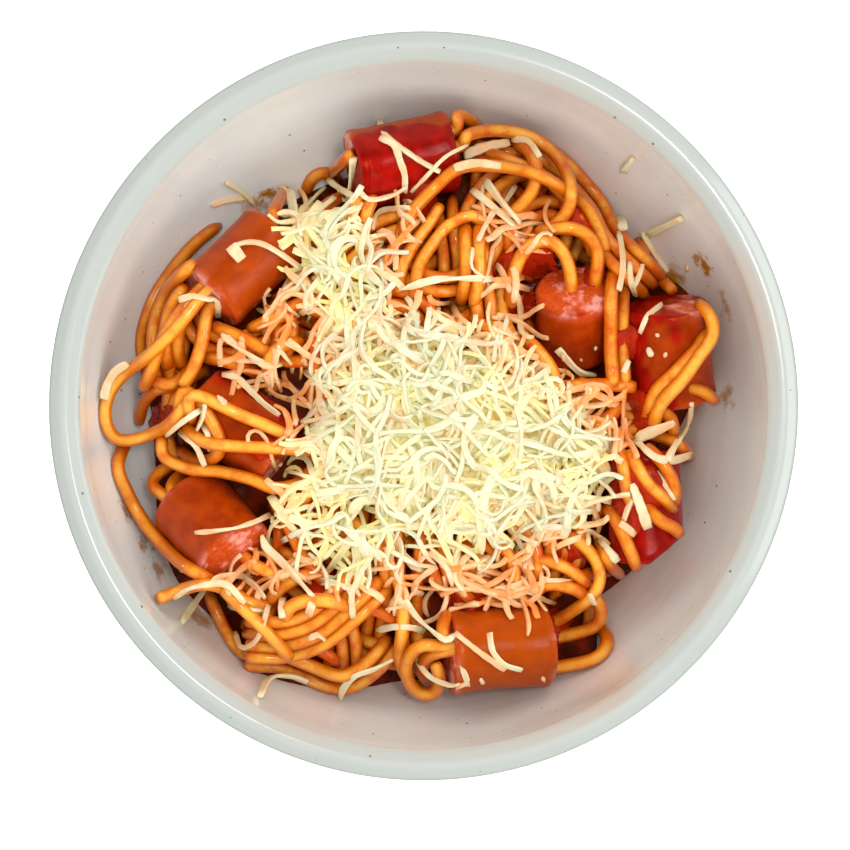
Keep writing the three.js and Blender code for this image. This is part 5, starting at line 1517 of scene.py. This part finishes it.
LOOSE_SHREDS = [
    loose([(-9.3, 60.5), (-8.5, 58), (-5.5, 55.4), (-1, 52.2), (3.5, 49.7)], 1.2),
    loose([(-9.3, 57), (-6.3, 55.5), (-5, 52), (-4, 49), (-4, 45.4)], 1.15),
    loose([(9.2, 55.4), (4.5, 52.8), (0.3, 48.4), (-2.5, 45.4)], 1.1),
    loose([(8.8, 53.3), (13, 55), (18.3, 56)], 1.6, 0.2),
    loose([(18.8, 56.5), (22.2, 56.3), (24.7, 53)], 1.1, 0.2),
    loose([(6.5, 50.5), (11, 51.6), (16.5, 51)], 1.3, 0.25),
    loose([(13, 48), (16.5, 43.5), (20.5, 39)], 1.9),
    loose([(10.3, 45.9), (14.5, 42.5), (19.4, 38.2)], 1.3),
    loose([(19.5, 46.8), (17.5, 43.5)], 0.9),
    loose([(15, 41.5), (13, 38), (11.6, 35)], 1.0, 0.25),
    loose([(-5, 24.6), (0, 26.2), (4.5, 27), (14.5, 27)], 1.35, 0.0),
    loose([(10.5, 33.5), (10.3, 29.5), (12.8, 27.2)], 0.9, 0.2),
    loose([(41.5, 37), (42.2, 33), (42.3, 29), (41.5, 24.6)], 1.2, 0.25),
    loose([(43.8, 30.5), (44, 27), (45, 23.5)], 1.0, 0.25),
    loose([(46.4, 36.9), (49, 32.5), (51.9, 28.4)], 0.9, 0.2),
    loose([(47.7, 36.3), (51, 38), (55, 39.9)], 1.3, 0.0),
    loose([(42.2, 49.7), (44.7, 52.7)], 1.0, 0.05),
    loose([(41.5, 40), (42.5, 37.5)], 1.7, 0.05),
    loose([(50.6, 21.5), (47.6, 19), (46, 15.5)], 0.9, 0.2),
    loose([(46.5, 30), (45.8, 27.5), (44.5, 25)], 0.9, 0.2),
    loose([(45, -7.3), (49.2, -10.9), (53, -11.6), (56.6, -10.5)], 1.3, 0.15),
    loose([(45.1, -6.9), (49.5, -5.2), (53.4, -3.5)], 1.9, 0.3),
    loose([(57, 0.6), (56.2, -4.1), (53.2, -8.8), (51.9, -11.5)], 1.1, 0.15),
    loose([(44.3, -16.6), (46, -21), (47.7, -26)], 1.6, 0.1),
    loose([(44.3, -20), (43.4, -22), (42.6, -24.3)], 1.3, 0.15),
    loose([(49.4, -14.1), (51.5, -17), (53.4, -20)], 0.9, 0.15),
    loose([(42.5, 7), (43.6, 9.6)], 1.1, 0.15),
    loose([(28.5, 12), (33, 7.3), (36, 6.5)], 1.6, 0.0),
    loose([(-34.8, -61.9), (-32.7, -57.9), (-28.4, -57.5), (-24.6, -58.7)], 1.4, 0.05),
    loose([(-17.8, -62.6), (-17, -60), (-14.6, -57.5), (-10.5, -56), (-6.5, -54)], 1.15, 0.0),
    loose([(-51.4, -46), (-49, -42.5), (-46.5, -39.2)], 1.1, 0.05),
    loose([(-53, -41), (-50, -39), (-46, -38), (-42, -38), (-38, -42)], 1.1, 0.1),
    loose([(-10, -47.7), (-6, -47), (-1.8, -47.3), (0, -48)], 1.15, 0.0),
    loose([(-4, -41.3), (-1.8, -44.5), (0.3, -46.6), (4.5, -49.8), (6.5, -48.8)], 1.1, 0.0),
    loose([(-15, -45), (-15.3, -42), (-15, -39), (-13, -35), (-11, -32)], 1.1, 0.1),
    loose([(-34.4, -27.5), (-33.5, -30), (-29.5, -33.9), (-23.7, -40.3)], 1.4, 0.05),
    loose([(-48.6, -27), (-44, -26.6), (-40, -26), (-36, -24.7), (-32.7, -23.2)], 1.0, 0.25),
    loose([(-41.2, 33.5), (-38, 34.7), (-34.4, 34.4), (-30, 32), (-26.3, 29.3)], 1.3, 0.2),
    loose([(-52, 22.5), (-49, 23.3), (-46, 22.6), (-44, 22.5), (-43.7, 19)], 1.2, 0.15),
    loose([(-42.9, 6.5), (-40, 6.2), (-38, 4.4), (-34, 0.5), (-30.6, -2)], 1.1, 0.1),
    loose([(6.7, -48.3), (12, -52.5), (17.3, -56.2)], 1.0, 0.45),
    loose([(14.1, -48.3), (14.4, -51), (15.2, -53), (17.6, -55.2), (20.9, -56.2)], 1.1, 0.0),
    loose([(7, -60), (9.4, -58.6), (8, -55.5), (9.5, -59.5)], 0.8, 0.2),
    loose([(-1.5, -54), (1.2, -57.5), (5.5, -59.5), (7.5, -59.2)], 0.9, 0.15),
    loose([(-47.5, -0.9), (-51, -3.3), (-54.8, -6.3)], 1.0, 0.1),
    loose([(-46.5, 0.2), (-47, -2.5), (-48.2, -5.2)], 0.9, 0.1),
    loose([(-51.8, -5.7), (-48.5, -8.5), (-46.5, -12.8)], 1.1, 0.15),
    loose([(-47, -4), (-45.8, -6.5), (-45.5, -9.5)], 0.9, 0.15),
    loose([(-30, -41), (-30.3, -43), (-30, -45)], 1.2, 0.15),
    loose([(-23.7, -42.2), (-24.5, -44.3)], 1.5, 0.1),
    loose([(-24.5, -49.6), (-22.5, -48.7), (-21, -49.8)], 1.1, 0.2),
    loose([(-40.1, -48.1), (-38.6, -51.5), (-35.2, -49.4), (-33, -42.5)], 0.9, 0.3),
    loose([(-41.6, -42.8), (-38, -43.3), (-34.4, -43.8)], 1.1, 0.1),
    loose([(-38, -36.6), (-35.5, -38.5), (-33.7, -40.9)], 1.1, 0.15),
    loose([(37.5, -28.5), (39.5, -31), (41.3, -33.2)], 1.3, 0.05),
    loose([(41.7, -25), (43.3, -26), (44.9, -27.5)], 1.3, 0.3),
    loose([(35.3, -40), (36.3, -42.2)], 1.2, 0.0),
    loose([(24.7, -36), (26.4, -37.1), (31.5, -37.1)], 0.8, 0.35),
    loose([(-42, 47.5), (-38.5, 45.4), (-36, 43)], 1.1, 0.05),
    loose([(-45, 42.5), (-42, 43.5), (-38, 44.2)], 1.0, 0.3),
    loose([(-28.4, 46), (-27.5, 41), (-26, 36)], 1.7, 0.0),
    loose([(-15, 52.5), (-15.5, 47.5), (-16.2, 44)], 1.5, 0.0),
    loose([(-20.5, 48), (-17.5, 46), (-14.5, 44.3)], 1.1, 0.1),
    loose([(-14, 46), (-11.5, 43.8), (-7, 44.6), (-3.5, 46.5)], 1.0, 0.15),
    loose([(-10.8, 37.5), (-9.5, 41.2), (-5, 42), (-3, 42)], 1.1, 0.15),
    loose([(-39.8, 9.7), (-35.5, 9.3), (-32.5, 7.5)], 0.9, 0.3),
    loose([(-43, 15.2), (-39, 12.2), (-34, 8.8), (-30.5, 8.8)], 1.2, 0.25),
    loose([(-41, 34), (-39.8, 32.5), (-38.6, 31)], 2.0, 0.1),
    loose([(-63, 9), (-65.6, 7.2), (-67.3, 4.4), (-68, 1.4)], 1.7, 0.15),
]

scattered = Bars()
for spec in LOOSE_SHREDS:
    lay_shred(scattered, spec["route"], LOOSE_BREADTH * spec["width"], 0.25, spec["sauce"] + 0.12,
              stiffness=6)
scattered.piece("cheese_loose", cheese, "cheese", ["grated_cheese"], SHRED_SIDES)

# %% [markdown]
# Crumbs. Short ends break off the shreds and stick where they land. Each is a stub of a shred, worn
# round at both ends.

# %% Crumbs
CRUMBS = [  # plan place and half the length
    ((48.1, 11.4), 1.1), ((51.4, 10.8), 0.6), ((49.7, 15), 0.5), ((-51.4, -34.7), 0.7),
    ((-36.5, -30.5), 0.7), ((-42.9, 1.2), 1.4), ((56, 29.3), 0.7), ((-30.5, -12.5), 0.6),
    ((20.2, 36.2), 0.9), ((25.5, -58.2), 0.6), ((12.4, -58.6), 0.7), ((-33.2, 23.6), 0.7),
    ((29.7, 10.3), 0.8), ((33.5, 9.7), 0.4), ((36.6, 12.2), 0.5),
]
crumbs = Bars()
for (x, y), reach in CRUMBS:
    turn = dice.uniform(0, math.pi)
    across, along = reach * math.cos(turn), reach * math.sin(turn)
    lay_shred(crumbs, [(x - across, y - along), (x, y), (x + across, y + along)], 0.8 * reach + 0.3,
              0.15, 0.4,
              step=0.35, tips=0.4)
crumbs.piece("cheese_crumbs", cheese, "cheese", ["grated_cheese"])
print(len(CRUMBS), "crumbs")
